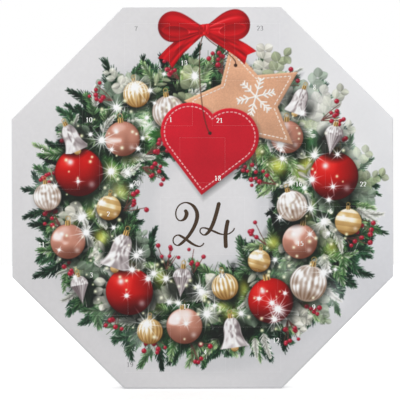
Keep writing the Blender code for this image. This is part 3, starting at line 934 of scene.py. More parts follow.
print("print handed over at", coarse_dots_per_mm, "dots per mm")

# %% [markdown]
# The printed layer is a very thin skin on the board's front: a fine flat grid with its rim
# turned back to the board. The panel is made in bands, one for each row of doors, and the
# doors' apertures and the sloping sides are cut out. Each door has a skin of its own that rides
# on it.

# %% Thin printed skins
skin = 0.03 * mm
print_pitch = 0.5 * mm
fold_flat = half_side - 0.9 * mm


def fine_lines(stops):
    """Coordinates from the first stop to the last, through every stop, at most a pitch apart."""
    lines = [stops[0]]
    for low, high in zip(stops, stops[1:]):
        steps = max(1, math.ceil((high - low) / print_pitch - 0.01))
        lines += [low + (high - low) * (step + 1) / steps for step in range(steps)]
    return lines


def flat_grid(bm, xs, zs, y):
    """A grid that faces forwards, with its columns and rows on the given lines."""
    columns, rows = len(xs) - 1, len(zs) - 1
    bmesh.ops.create_grid(bm, x_segments=columns, y_segments=rows, size=1.0)
    for vert in bm.verts:
        column, row = round((vert.co.x + 1) / 2 * columns), round((vert.co.y + 1) / 2 * rows)
        vert.co = (xs[column], y, zs[row])


def turn_rim_back(bm, depth):
    """Turn the open edges of a skin back to the board."""
    rim = [edge for edge in bm.edges if edge.is_boundary]
    grown = bmesh.ops.extrude_edge_only(bm, edges=rim)["geom"]
    new_verts = [item for item in grown if isinstance(item, bmesh.types.BMVert)]
    bmesh.ops.translate(bm, verts=new_verts, vec=(0, depth, 0))


def new_object(name, bm, material):
    """Turn a bmesh into an object with one material."""
    mesh = bpy.data.meshes.new(name)
    bm.to_mesh(mesh)
    bm.free()
    mesh.materials.append(material)
    made = bpy.data.objects.new(name, mesh)
    bpy.context.scene.collection.objects.link(made)
    return made


def finished_piece(name, bm, material, body):
    """Turn a bmesh into a piece that rides on a body, or stays loose when no body is given."""
    piece = new_object(name, bm, material)
    if body:
        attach(piece, body)
    return piece


print("skins", round(skin / mm, 2), "mm thick, with a vertex every", print_pitch / mm, "mm")

# %% [markdown]
# Offset print on boxboard under a satin varnish: the colours come from the attribute, and the
# varnish is a fairly smooth coat over board that is never quite flat. The bump has two scales, a
# broad one for the board's waviness and a fine one for its grain.

# %% Material helpers
def set_inputs(node, inputs):
    """Set a node's inputs, whose names have an underscore for each space."""
    for name, value in inputs.items():
        node.inputs[name.replace("_", " ")].default_value = value


def new_material(name, **inputs):
    """A material with its tree, and its shader with some inputs set."""
    material = bpy.data.materials.new(name)
    material.use_nodes = True
    tree = material.node_tree
    shader = tree.nodes["Principled BSDF"]
    set_inputs(shader, inputs)
    return material, tree, shader


def add_node(tree, kind, **inputs):
    """A node with some inputs set."""
    node = tree.nodes.new(kind)
    set_inputs(node, inputs)
    return node


def math_node(tree, operation, first, second=None, third=None):
    """A maths node joined to sockets or set to numbers."""
    node = tree.nodes.new("ShaderNodeMath")
    node.operation = operation
    for index, value in enumerate((first, second, third)):
        if value is None:
            continue
        if isinstance(value, (int, float)):
            node.inputs[index].default_value = value
        else:
            tree.links.new(value, node.inputs[index])
    return node.outputs["Value"]


def own_place(tree):
    """The piece's own coordinates, in metres."""
    return tree.nodes.new("ShaderNodeTexCoord").outputs["Object"]


def two_tones(tree, mask, low, high):
    """A colour between two, chosen by a mask."""
    tint = tree.nodes.new("ShaderNodeValToRGB")
    for stop, colour in zip(tint.color_ramp.elements, (low, high)):
        stop.color = (*colour, 1)
    tree.links.new(mask, tint.inputs["Fac"])
    return tint.outputs["Color"]


def vary(tree, mask, low, high, target):
    """Drive a shader socket between two values by a mask."""
    span = add_node(tree, "ShaderNodeMapRange", To_Min=low, To_Max=high)
    tree.links.new(mask, span.inputs["Value"])
    tree.links.new(span.outputs["Result"], target)


print("helpers for materials ready")

# %% Grain of board
grain_sockets = (
    ("Place", "INPUT", "Vector"), ("Fine scale", "INPUT", "Float"), ("Depth", "INPUT", "Float"),
    ("Fine", "OUTPUT", "Float"), ("Broad", "OUTPUT", "Float"), ("Normal", "OUTPUT", "Vector"),
)
bump_height = 0.6 * mm
fine_relief = 0.12


def paper_group():
    """Grain and waviness of board: a fine mask, a broad mask and a bumped normal."""
    tree = bpy.data.node_groups.new("board_grain", "ShaderNodeTree")
    for name, way, kind in grain_sockets:
        tree.interface.new_socket(name, in_out=way, socket_type="NodeSocket" + kind)
    given, result = tree.nodes.new("NodeGroupInput"), tree.nodes.new("NodeGroupOutput")
    fine = add_node(tree, "ShaderNodeTexNoise", Detail=3.0, Roughness=0.6)
    broad = add_node(tree, "ShaderNodeTexNoise", Scale=28.0, Detail=2.0)
    bump = add_node(tree, "ShaderNodeBump", Distance=bump_height)
    relief = math_node(tree, "MULTIPLY_ADD", fine.outputs["Fac"], fine_relief, broad.outputs["Fac"])
    joins = (
        (given.outputs["Place"], fine.inputs["Vector"]),
        (given.outputs["Place"], broad.inputs["Vector"]),
        (given.outputs["Fine scale"], fine.inputs["Scale"]),
        (given.outputs["Depth"], bump.inputs["Strength"]),
        (relief, bump.inputs["Height"]),
        (fine.outputs["Fac"], result.inputs["Fine"]),
        (broad.outputs["Fac"], result.inputs["Broad"]),
        (bump.outputs["Normal"], result.inputs["Normal"]),
    )
    for start, end in joins:
        tree.links.new(start, end)
    return tree


board_grain = paper_group()


def add_grain(tree, shader, fine_scale, depth):
    """Place the grain group in a material and join its normal to the shader."""
    grain = tree.nodes.new("ShaderNodeGroup")
    grain.node_tree = board_grain
    set_inputs(grain, {"Fine scale": fine_scale, "Depth": depth})
    tree.links.new(own_place(tree), grain.inputs["Place"])
    tree.links.new(grain.outputs["Normal"], shader.inputs["Normal"])
    return grain


def grained_material(name, fine_scale, depth, tints, roughness, masks=("Fine", "Broad"), **inputs):
    """A material whose tint and roughness follow the two masks of its grain."""
    material, tree, shader = new_material(name, **inputs)
    grain = add_grain(tree, shader, fine_scale, depth)
    tint_mask, rough_mask = (grain.outputs[mask] for mask in masks)
    tree.links.new(two_tones(tree, tint_mask, *tints), shader.inputs["Base Color"])
    vary(tree, rough_mask, *roughness, shader.inputs["Roughness"])
    return material


print("grain group of", len(board_grain.nodes), "nodes")

# %% The print
varnish_grain = (1400.0, 0.10)
varnish_specular = 0.2
print_roughness, spot_roughness = (0.34, 0.46), (0.36, 0.48)


def print_material():
    """Offset colours under a satin varnish."""
    material, tree, shader = new_material("printed_sheet", Specular_IOR_Level=varnish_specular)
    ink = tree.nodes.new("ShaderNodeVertexColor")
    ink.layer_name = "ink"
    tree.links.new(ink.outputs["Color"], shader.inputs["Base Color"])
    grain = add_grain(tree, shader, *varnish_grain)
    vary(tree, grain.outputs["Broad"], *print_roughness, shader.inputs["Roughness"])
    return material


printed_sheet = print_material()


def printed_piece(name, bm, body, paler_by=None):
    """Turn a bmesh into a piece that carries the print."""
    piece = finished_piece(name, bm, printed_sheet, body)
    ink_vertices(piece.data, paler_by)
    return piece


print("print material made")

# %% Skins of the panel
row_numbers = ((7, 13, 23), (10, 1, 21, 8), (5, 20, 18, 16, 22), (11, 2, 24, 15, 6), (3, 17, 14, 9),
               (19, 4, 12))
diagonal_reach = fold_flat * math.sqrt(2)


def aperture(number):
    """A door's aperture: left, right, bottom and top."""
    left, right, bottom, top = door_span(number)
    return left - kerf, right + kerf, bottom - kerf, top + kerf


def row_bounds():
    """Heights that part the panel into one band for each row of doors."""
    tops = [max(aperture(number)[3] for number in row) for row in row_numbers]
    bottoms = [min(aperture(number)[2] for number in row) for row in row_numbers]
    parts = [(above + below) / 2 for above, below in zip(bottoms, tops[1:])]
    return [half_side + fold_flat] + parts + [half_side - fold_flat]


def cut_holes(bm, holes):
    """Take the faces inside the apertures out of a band."""
    cut = []
    for face in bm.faces:
        middle = face.calc_center_median()
        if any(left < middle.x < right and bottom < middle.z < top for left, right, bottom, top in holes):
            cut.append(face)
    bmesh.ops.delete(bm, geom=cut, context="FACES")


def cut_slopes(bm):
    """Cut a band off along the panel's four sloping sides."""
    for across in (-1, 1):
        for up in (-1, 1):
            corner = Vector((across * diagonal_reach / 2, 0, half_side + up * diagonal_reach / 2))
            bmesh.ops.bisect_plane(bm, geom=bm.verts[:] + bm.edges[:] + bm.faces[:], dist=1e-7,
                                   plane_co=corner, plane_no=Vector((across, 0, up)), clear_outer=True)


def panel_band(index, row, low, high):
    """The printed skin round one row of doors."""
    holes = [aperture(number) for number in row]
    crosses_middle = low < half_side < high
    nearest = 0 if crosses_middle else min(abs(low - half_side), abs(high - half_side))
    reach = min(fold_flat, diagonal_reach - nearest)
    xs = fine_lines(sorted({-reach, reach} | {hole[side] for hole in holes for side in (0, 1)}))
    zs = fine_lines(sorted({low, high} | {hole[side] for hole in holes for side in (2, 3)}))
    bm = bmesh.new()
    flat_grid(bm, xs, zs, front_y - skin)
    cut_holes(bm, holes)
    cut_slopes(bm)
    turn_rim_back(bm, skin)
    return printed_piece(f"panel_print_{index + 1}", bm, "case")


bounds_of_rows = row_bounds()
panel_prints = [panel_band(index, row, bounds_of_rows[index + 1], bounds_of_rows[index])
                for index, row in enumerate(row_numbers)]
print([len(piece.data.polygons) for piece in panel_prints], "faces in the panel's bands")

# %% Skins of the doors
crease_gap = 0.4 * mm


def door_print(number):
    """The printed skin of one door, which clears the panel's skin when it is open."""
    left, right, bottom, top = door_span(number)
    bm = bmesh.new()
    flat_grid(bm, fine_lines([left + crease_gap, right]), fine_lines([bottom, top]), front_y - skin)
    turn_rim_back(bm, skin)
    return printed_piece(f"door_print_{number:02d}", bm, f"door_{number:02d}")


door_prints = [door_print(number) for number in door_numbers]
print(sum(len(piece.data.polygons) for piece in door_prints), "faces in the doors' skins")

# %% [markdown]
# The board isn't cut along a door's left side, only scored, so the paper runs on over the
# crease as a strip of its own. On the other three sides the die presses the paper down into
# the cut as a lip, and leaves small nibs of board across it, which tear when the door is first
# opened.
# Both stay on the door. Score and lips are painted a little paler than the print round them:
# pressed paper is paler, and the paler tone also stands in for a highlight on the dent. That is
# all that shows of a shut door.

# %% Creases, lips and nibs
crease_half = 0.7 * mm
crease_steps = 8
lip_reach = kerf - 0.01 * mm
lip_depth = 0.05 * mm
# How much paler score and lips are painted: pressed paper and a painted highlight on the dent
pressed_paling_and_highlight = 0.07
nib_pitch = 6.5 * mm
nib_width = 0.7 * mm
nib_reach = kerf * 0.9
nib_depth_share = 0.8
# Uncoated white-lined board is matt and slightly warm, with fibres
board_tints, board_roughness = ((0.60, 0.585, 0.55), (0.72, 0.71, 0.68)), (0.80, 0.92)
board_fibres = (1800.0, 0.25)
plain_board = grained_material("plain_board", *board_fibres, board_tints, board_roughness,
                               Specular_IOR_Level=0.25)


def crease_strip(number):
    """The paper over a door's crease, between the case and the door."""
    left, _, bottom, top = door_span(number)
    score = left - kerf / 2
    bm = bmesh.new()
    xs = [score + crease_half * (2 * step / crease_steps - 1) for step in range(crease_steps + 1)]
    flat_grid(bm, xs, fine_lines([bottom, top]), front_y - 2 * skin)
    # The middle of the crease is painted paler: pressed paper and a painted highlight
    piece = printed_piece(f"crease_{number:02d}", bm, None,
                          lambda x: pressed_paling_and_highlight * (np.abs(x - score) < crease_half / crease_steps))
    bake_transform(piece)
    return piece


def door_lip(number):
    """The paper pressed down into the cut round a door's three free sides."""
    left, right, bottom, top = door_span(number)
    bm = bmesh.new()
    flat_grid(bm, fine_lines([left, right]) + [right + lip_reach],
              [bottom - lip_reach] + fine_lines([bottom, top]) + [top + lip_reach], front_y + lip_depth)
    middles = ((face, face.calc_center_median()) for face in bm.faces)
    covered = [face for face, middle in middles if middle.x < right and bottom < middle.z < top]
    bmesh.ops.delete(bm, geom=covered, context="FACES")
    turn_rim_back(bm, skin)
    # The whole lip is painted paler: pressed paper and a painted highlight
    return printed_piece(f"door_lip_{number:02d}", bm, f"door_{number:02d}",
                         lambda x: np.full(len(x), pressed_paling_and_highlight))


def add_nib(bm, depth, x, z, width, height):
    """Add one tab of board across the cut."""
    cube = bmesh.ops.create_cube(bm, size=1.0)["verts"]
    bmesh.ops.scale(bm, verts=cube, vec=(width, depth * nib_depth_share, height))
    bmesh.ops.translate(bm, verts=cube, vec=(x, front_y + depth / 2, z))


def door_nibs(number):
    """Small tabs of board that bridge the cut on a door's three free sides."""
    left, right, bottom, top = door_span(number)
    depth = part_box(f"door_{number:02d}")[1].y - front_y
    bm = bmesh.new()
    across = max(2, round((right - left) / nib_pitch))
    for step in range(1, across):
        x = left + (right - left) * step / across
        add_nib(bm, depth, x, top + nib_reach / 2, nib_width, nib_reach)
        add_nib(bm, depth, x, bottom - nib_reach / 2, nib_width, nib_reach)
    upward = max(2, round((top - bottom) / nib_pitch))
    for step in range(1, upward):
        z = bottom + (top - bottom) * step / upward
        add_nib(bm, depth, right + nib_reach / 2, z, nib_reach, nib_width)
    return finished_piece(f"door_nibs_{number:02d}", bm, plain_board, f"door_{number:02d}")


creases = [crease_strip(number) for number in door_numbers]
lips = [door_lip(number) for number in door_numbers]
nibs = [door_nibs(number) for number in door_numbers]
nib_count = sum(len(piece.data.polygons) // 6 for piece in nibs)
print(len(creases), "creases,", len(lips), "lips and", nib_count, "nibs")

# %% [markdown]
# The numbers are a separate ink: small serif figures, white where the picture is dark and grey
# where it is pale, and a large brown 24 drawn as if with a broad pen. Each figure is a few
# strokes through listed points in a unit box. A pen's width depends on the direction of
# its stroke, which gives the thick and thin parts by itself: a small figure is thick where it
# is upright, and the script only where the pen comes down.

# %% Figures
figure_share = {
    "0": (((.5, 1), (.16, .86), (.06, .5), (.16, .14), (.5, 0), (.84, .14), (.94, .5), (.84, .86),
           (.5, 1)),),
    "1": (((.22, .82), (.5, 1)), ((.5, 1), (.5, 0)), ((.18, .0), (.82, .0))),
    "2": (((.12, .74), (.2, .94), (.5, 1), (.82, .88), (.84, .62), (.55, .32), (.1, .03)),
          ((.1, .03), (.92, .03))),
    "3": (((.14, .86), (.45, 1), (.8, .9), (.78, .62), (.42, .53)),
          ((.42, .53), (.85, .44), (.9, .12), (.5, 0), (.1, .1))),
    "4": (((.70, 0), (.70, 1)), ((.70, 1), (.06, .30)), ((.06, .30), (.98, .30)), ((.5, 0), (.9, 0))),
    "5": (((.28, .97), (.88, .97)), ((.28, .97), (.22, .56)),
          ((.22, .56), (.55, .64), (.88, .5), (.86, .16), (.5, 0), (.1, .08))),
    "6": (((.82, .96), (.5, .98), (.16, .7), (.08, .34), (.22, .06), (.5, 0), (.84, .12), (.88, .38),
           (.6, .6), (.3, .52), (.1, .3)),),
    "7": (((.1, .80), (.12, .97)), ((.12, .97), (.94, .97)), ((.94, .97), (.55, .5), (.38, 0))),
    "8": (((.5, .54), (.18, .74), (.28, .96), (.5, 1), (.74, .96), (.82, .74), (.5, .54), (.12, .3),
           (.2, .05), (.5, 0), (.8, .05), (.9, .3), (.5, .54)),),
    "9": (((.18, .04), (.5, .02), (.84, .3), (.92, .66), (.78, .94), (.5, 1), (.16, .88), (.12, .62),
           (.4, .4), (.7, .48), (.9, .7)),),
}
script_share = {
    "2": (((.37, .84), (.42, .75), (.36, .64), (.23, .60), (.13, .67), (.12, .81), (.22, .94), (.40, .99),
           (.59, .93), (.71, .78), (.70, .60), (.57, .38), (.38, .19), (.18, .07), (.05, .12), (.05, .23),
           (.18, .29), (.38, .21), (.58, .10), (.76, .045), (.86, .07), (.91, .12)),),
    "4": (((.57, 1.0), (.49, .76), (.39, .53), (.27, .36), (.14, .29), (.03, .35), (.05, .43), (.17, .44),
           (.38, .38), (.61, .31), (.82, .31), (.96, .38), (1.0, .44)),
          ((.82, .62), (.775, .46), (.745, .27), (.755, .0))),
}
small_figures = {
    "shares": figure_share, "height": 4.4 * mm, "width": 0.60, "spacing": 1.24, "steps": 7,
    "thin": 0.30 * mm, "thick": 0.74 * mm, "press": lambda way: abs(way.y), "round_ends": False,
}
script_figures = {
    "shares": script_share, "height": 45 * mm, "width": 0.76, "spacing": 0.775, "steps": 16,
    "thin": 1.3 * mm, "thick": 3.9 * mm, "press": lambda way: max(0.0, -way.y) ** 1.4, "round_ends": True,
}
number_lift, stroke_climb, layer_climb = 2 * skin, skin / 6, skin / 4


def smooth_path(points, steps):
    """A smooth path through points, straight where there are only two."""
    points = [Vector(point) for point in points]
    if len(points) == 2:
        return [points[0].lerp(points[1], step / steps) for step in range(steps + 1)]
    closed = (points[0] - points[-1]).length < 1e-9
    before = points[-2] if closed else 2 * points[0] - points[1]
    after = points[1] if closed else 2 * points[-1] - points[-2]
    guides = [before] + points + [after]
    path = []
    for a, b, c, d in zip(guides, guides[1:], guides[2:], guides[3:]):
        for step in range(steps):
            t = step / steps
            path.append(0.5 * (2 * b + (c - a) * t + (2 * a - 5 * b + 4 * c - d) * t * t
                               + (3 * b - a - 3 * c + d) * t ** 3))
    return path + [points[-1]]


def pen_stroke(bm, path, y, style):
    """Add one pen stroke to a bmesh: a strip of faces whose width follows its direction."""
    last = len(path) - 1
    spots = np.array([tuple(point) for point in path])
    gone = np.concatenate(([0], np.hypot(*np.diff(spots, axis=0).T).cumsum()))
    grid = bmesh.ops.create_grid(bm, x_segments=last, y_segments=1, size=1.0)["verts"]
    for vert in grid:
        step = round((vert.co.x + 1) / 2 * last)
        side = 1 if vert.co.y > 0 else -1
        way = (path[min(step + 1, last)] - path[max(step - 1, 0)]).normalized()
        width = style["thin"] + (style["thick"] - style["thin"]) * style["press"](way)
        if style["round_ends"]:
            from_end = min(gone[step], gone[last] - gone[step]) / (width / 2)
            width *= math.sqrt(max(0.03, 1 - max(0.0, 1 - from_end) ** 2))
        place = path[step] + Vector((-way.y, way.x)) * side * width / 2
        vert.co = (place.x, y - stroke_climb * step / last, place.y)


def draw_figures(bm, text, centre, style):
    """Draw a number's figures side by side round a centre, each stroke a hair over the last."""
    height, width = style["height"], style["height"] * style["width"]
    advance = width * style["spacing"]
    start = centre[0] - (advance * (len(text) - 1) + width) / 2
    layer = 0
    for index, figure in enumerate(text):
        left = start + advance * index
        for stroke in style["shares"][figure]:
            points = [(left + x * width, centre[1] + (y - 0.5) * height) for x, y in stroke]
            level = front_y - number_lift - layer * layer_climb
            pen_stroke(bm, smooth_path(points, style["steps"]), level, style)
            layer += 1


print(len(figure_share), "small and", len(script_share), "script figures drawn up")

# %% Number inks and their places
ink_mottle = 0.86


def flat_ink(name, colour):
    """A spot ink under the same varnish."""
    darker = tuple(value * ink_mottle for value in colour)
    return grained_material(name, *varnish_grain, (darker, colour), spot_roughness,
                            Specular_IOR_Level=varnish_specular)


white_ink = flat_ink("white_ink", (0.90, 0.90, 0.88))
grey_ink = flat_ink("grey_ink", (0.26, 0.26, 0.27))
brown_ink = flat_ink("brown_ink", (0.052, 0.030, 0.016))
# Where each small number stands on its door, as shares of the door's half width and half height
number_share = {
    1: (.04, -.73), 2: (-.62, .70), 3: (-.63, .80), 4: (.10, -.10), 5: (-.66, .72), 6: (-.76, .80),
    7: (-.48, .79), 8: (.66, .70), 9: (.60, -.66), 10: (-.71, -.73), 11: (-.70, -.66), 12: (.80, .41),
    13: (-.81, -.75), 14: (-.57, .77), 15: (.76, -.64), 16: (.71, -.80), 17: (.72, -.62),
    18: (.68, -.80), 19: (-.80, -.66), 20: (.64, -.74), 21: (-.68, -.77), 22: (.68, -.82), 23: (.12, .79),
}
pale_limit = 0.70
script_centre = (0.5 * mm, half_side - 26.6 * mm)


def number_place(number):
    """Where a number stands on its door."""
    if number == wide_number:
        return script_centre
    left, right, bottom, top = door_span(number)
    across, up = number_share[number]
    return (left + right + across * (right - left)) / 2, (bottom + top + up * (top - bottom)) / 2


def brightness_round(x, z):
    """The print's mean brightness under a small number."""
    spread = np.linspace(-0.5, 0.5, 7) * small_figures["height"]
    across, up = np.meshgrid(x + spread, z + spread)
    return float(sheet_colour(across.ravel(), up.ravel()).mean())


def number_piece(number):
    """One door's number."""
    x, z = number_place(number)
    bm = bmesh.new()
    draw_figures(bm, str(number), (x, z), script_figures if number == wide_number else small_figures)
    if number == wide_number:
        ink = brown_ink
    else:
        ink = grey_ink if brightness_round(x, z) > pale_limit else white_ink
    return finished_piece(f"number_{number:02d}", bm, ink, f"door_{number:02d}")


numbers = [number_piece(number) for number in door_numbers]
print(len(numbers), "numbers")

# %% [markdown]
# The lid is printed outside and plain inside, and it is one folded sheet. So one material
# covers it: the outer faces are found by how far they lie from the middle of the octagon and
# how far forward, and the ink wears through to the board a little along the folds.

# %% Board of the cartons
ink_edge, ink_depth = 0.25 * mm, 0.2 * mm
carton_grain, carton_roughness = (1500.0, 0.14), (0.85, 0.42)
wear_band = (1.1 * mm, 0.1 * mm)
scuff_level, wear = 0.62, 0.5
lid_tints = ((0.60, 0.61, 0.64), (0.70, 0.70, 0.71))
base_tints = ((0.70, 0.70, 0.70), (0.77, 0.77, 0.76))


def octagon_distance(tree, apart):
    """How far a point lies from the middle of the octagon, measured square to its sides."""
    across = math_node(tree, "ABSOLUTE", apart.outputs["X"])
    up = math_node(tree, "ABSOLUTE", math_node(tree, "SUBTRACT", apart.outputs["Z"], half_side))
    straight = math_node(tree, "MAXIMUM", across, up)
    slanted = math_node(tree, "DIVIDE", math_node(tree, "ADD", across, up), math.sqrt(2))
    return math_node(tree, "MAXIMUM", straight, slanted)


def worn_folds(tree, out, outer):
    """Where the ink is scuffed along the folds."""
    near_fold = add_node(tree, "ShaderNodeMapRange", From_Min=outer - wear_band[0],
                         From_Max=outer - wear_band[1])
    tree.links.new(out, near_fold.inputs["Value"])
    scuffs = add_node(tree, "ShaderNodeTexNoise", Scale=260.0, Detail=4.0)
    tree.links.new(own_place(tree), scuffs.inputs["Vector"])
    scuffed = math_node(tree, "GREATER_THAN", scuffs.outputs["Fac"], scuff_level)
    return math_node(tree, "MULTIPLY", near_fold.outputs["Result"], scuffed)


def carton_material(name, outer, tints, panel_side, panel_y):
    """Board printed on its outer faces: pale ink outside, plain board inside and on cut edges."""
    material, tree, shader = new_material(name, Specular_IOR_Level=0.35)
    grain = add_grain(tree, shader, *carton_grain)
    apart = tree.nodes.new("ShaderNodeSeparateXYZ")
    tree.links.new(own_place(tree), apart.inputs["Vector"])
    out = octagon_distance(tree, apart)
    on_wall = math_node(tree, "GREATER_THAN", out, outer - ink_edge)
    on_panel = math_node(tree, panel_side, apart.outputs["Y"], panel_y)
    printed = math_node(tree, "MAXIMUM", on_wall, on_panel)
    kept = math_node(tree, "MULTIPLY_ADD", worn_folds(tree, out, outer), -wear, 1.0)
    inked = math_node(tree, "MULTIPLY", printed, kept)
    blend = tree.nodes.new("ShaderNodeMix")
    blend.data_type = "RGBA"
    tree.links.new(inked, blend.inputs["Factor"])
    tree.links.new(two_tones(tree, grain.outputs["Fine"], *board_tints), blend.inputs["A"])
    tree.links.new(two_tones(tree, grain.outputs["Broad"], *tints), blend.inputs["B"])
    tree.links.new(blend.outputs["Result"], shader.inputs["Base Color"])
    vary(tree, inked, *carton_roughness, shader.inputs["Roughness"])
    return material


def dress_node(name, material):
    """Give a node of the model its finish."""
    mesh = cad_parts[name].data
    mesh.materials.clear()
    mesh.materials.append(material)


base_low, base_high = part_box("back_carton")
base_apothem = (base_high.x - base_low.x) / 2
lid_print = carton_material("lid_print", half_side, lid_tints, "LESS_THAN", front_y + ink_depth)
base_print = carton_material("base_print", base_apothem, base_tints, "GREATER_THAN",
                             base_high.y - ink_depth)
dress_node("front_carton", lid_print)
dress_node("back_carton", base_print)
for number in door_numbers:
    dress_node(f"door_{number:02d}", plain_board)
print("cartons and doors dressed")

# %% [markdown]
# The tray is white film drawn down over a mould: glossy, a little uneven, and thin enough to
# pass some light. The candles stand in it. A tea light is a clear cup with coloured wax, whose
# top has set slightly dished round a short wick.

# %% Tray film
film_grain, film_roughness = (340.0, 0.12), (0.22, 0.36)
film_tints = ((0.74, 0.75, 0.76), (0.82, 0.82, 0.82))
tray_film = grained_material("tray_film", *film_grain, film_tints, film_roughness, ("Broad", "Fine"),
                             Subsurface_Weight=0.25, Subsurface_Radius=(2.0 * mm, 2.0 * mm, 2.0 * mm),
                             Subsurface_Scale=1.0)
dress_node("tray", tray_film)
print("tray dressed")

# %% Tea lights
candle_steps, wick_steps = 56, 12
cup_wall = 0.5 * mm
cup_draft = 1 * mm
foot_round = 1.2 * mm
rim_bead = 0.35 * mm
wax_level = 17.2 * mm
wax_gap = 0.15 * mm
wax_climb, wax_shoulder = 0.5 * mm, 1.6 * mm
wick_radius = 0.8 * mm
wick_drop = 0.8 * mm
sharp_angle = math.radians(50)
wax_grain, wax_roughness = (420.0, 0.10), (0.34, 0.52)
cup_grain, cup_roughness = (500.0, 0.03), (0.06, 0.14)
wick_tints = ((0.62, 0.58, 0.48), (0.82, 0.79, 0.70))
wax_tints = {
    "berry": ((0.30, 0.012, 0.03), (0.42, 0.03, 0.06)),
    "fir": ((0.03, 0.13, 0.07), (0.07, 0.20, 0.11)),
    "cream": ((0.74, 0.66, 0.50), (0.82, 0.76, 0.62)),
    "snow": ((0.78, 0.78, 0.77), (0.84, 0.84, 0.83)),
    "cinnamon": ((0.36, 0.13, 0.06), (0.46, 0.20, 0.10)),
    "frost_blue": ((0.36, 0.50, 0.60), (0.48, 0.62, 0.70)),
}


def forwards_from(low, high):
    """The placing of a shape whose heights run forwards from the middle of a box's back."""
    back = Vector(((low.x + high.x) / 2, high.y, (low.z + high.z) / 2))
    return Matrix.Translation(back) @ Matrix.Rotation(math.pi / 2, 4, "X")


def smooth_over(piece):
    """Shade a piece smooth, but for its sharp edges."""
    piece.data.shade_smooth()
    piece.data.set_sharp_from_angle(angle=sharp_angle)


def turned_piece(name, profile, steps, material, placing, replaced):
    """Spin a profile of radii and heights into a closed piece that stands for a node."""
    bm = bmesh.new()
    points = [bm.verts.new((radius, 0, height)) for radius, height in profile]
    line = [bm.edges.new(pair) for pair in zip(points, points[1:])]
    bmesh.ops.spin(bm, geom=points + line, cent=(0, 0, 0), axis=(0, 0, 1), angle=math.tau,
                   steps=steps, use_merge=True)
    bmesh.ops.remove_doubles(bm, verts=bm.verts, dist=1e-6)
    bmesh.ops.recalc_face_normals(bm, faces=bm.faces)
    bmesh.ops.transform(bm, matrix=placing, verts=bm.verts)
    piece = finished_piece(name, bm, material, "case")
    smooth_over(piece)
    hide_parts(replaced)


def arc(centre_radius, centre_height, radius, start, end, steps=4):
    """Points of an arc in a profile, with its angles in degrees."""
    turns = (math.radians(start + (end - start) * step / steps) for step in range(steps + 1))
    return [moved(centre_radius, centre_height, turn, radius) for turn in turns]


def cup_profile(height, top_radius, foot_radius):
    """A thin cup with a rounded foot and a rolled rim."""
    foot = foot_radius - foot_round
    outside = arc(foot, foot_round, foot_round, -90, 0)
    rim = arc(top_radius - rim_bead, height - rim_bead, rim_bead, 0, 180)
    inside_wall = arc(foot - cup_wall, foot_round + cup_wall, foot_round, 0, -90)
    return [(0, 0)] + outside + rim + inside_wall + [(0, cup_wall)]


def wax_profile(top_radius, foot_radius):
    """Wax that fills the cup up to its level, with a rim that climbs the wall a little."""
    top, foot = top_radius - cup_wall - wax_gap - rim_bead, foot_radius - cup_wall - wax_gap
    base = cup_wall + wax_gap
    surface = ((top, 1.0), (top - 0.4 * mm, 0.7), (top - wax_shoulder, 0.1), (top / 2, -0.2),
               (2.2 * mm, -0.4), (wick_radius * 1.5, 0.2), (0, 0.2))
    return [(0, base), (foot - foot_round, base), (foot, base + foot_round)] + [
        (radius, wax_level + rise * wax_climb) for radius, rise in surface]


def wick_profile(height):
    """A short waxed wick with a slightly frayed, rounded end."""
    return [(0, wax_level - 1 * mm), (wick_radius, wax_level - 1 * mm), (wick_radius * 0.92, height * 0.9),
            (wick_radius * 1.05, height - 0.5 * mm), (wick_radius * 0.6, height), (0, height)]


def wax_material(name, tints):
    """Wax: soft gloss, light that sinks in, and a mottled bloom."""
    return grained_material("wax_" + name, *wax_grain, tints, wax_roughness, Subsurface_Weight=0.35,
                            Subsurface_Radius=(3.0 * mm, 2.2 * mm, 1.6 * mm), Subsurface_Scale=1.0)


def cup_material():
    """Clear moulded plastic: so thin that its alpha lets the wax show, with only a little gloss."""
    material, tree, shader = new_material("clear_cup", Base_Color=(0.93, 0.94, 0.95, 1), Alpha=0.36,
                                          IOR=1.49)
    grain = add_grain(tree, shader, *cup_grain)
    vary(tree, grain.outputs["Fine"], *cup_roughness, shader.inputs["Roughness"])
    return material


def wick_material():
    """Waxed cotton braid."""
    material, tree, shader = new_material("cotton_wick", Roughness=0.7)
    braid = add_node(tree, "ShaderNodeTexWave", Scale=900.0, Distortion=3.0)
    braid.bands_direction = "DIAGONAL"
    tree.links.new(own_place(tree), braid.inputs["Vector"])
    tint = two_tones(tree, braid.outputs["Fac"], *wick_tints)
    tree.links.new(tint, shader.inputs["Base Color"])
    bump = add_node(tree, "ShaderNodeBump", Strength=0.5, Distance=0.1 * mm)
    tree.links.new(braid.outputs["Fac"], bump.inputs["Height"])
    tree.links.new(bump.outputs["Normal"], shader.inputs["Normal"])
    return material


wax_materials = [wax_material(name, tints) for name, tints in wax_tints.items()]
clear_cup = cup_material()
cotton_wick = wick_material()


def tea_light(number):
    """A cup, its wax and its wick in the place of one solid."""
    node = f"tea_light_{number:02d}"
    low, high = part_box(node)
    top_radius, height = (high.x - low.x) / 2, high.y - low.y
    foot_radius = top_radius - cup_draft
    wax = wax_materials[number % len(wax_materials)]
    parts = (
        ("cup", cup_profile(height, top_radius, foot_radius), candle_steps, clear_cup),
        ("wax", wax_profile(top_radius, foot_radius), candle_steps, wax),
        ("wick", wick_profile(height - wick_drop), wick_steps, cotton_wick),
    )
    for part, profile, steps, material in parts:
        turned_piece(f"{part}_{number:02d}", profile, steps, material, forwards_from(low, high), node)


for number in door_numbers:
    tea_light(number)
print(len(door_numbers), "tea lights in", len(wax_materials), "colours of wax")

# %% [markdown]
# The holder behind the widest door is a block of pressed glass, thick in its floor, with every
# edge fire-polished round. It is lofted from rounded outlines and its bore is a stack of
# circles with as many points, so the two surfaces join face to face round the rim.

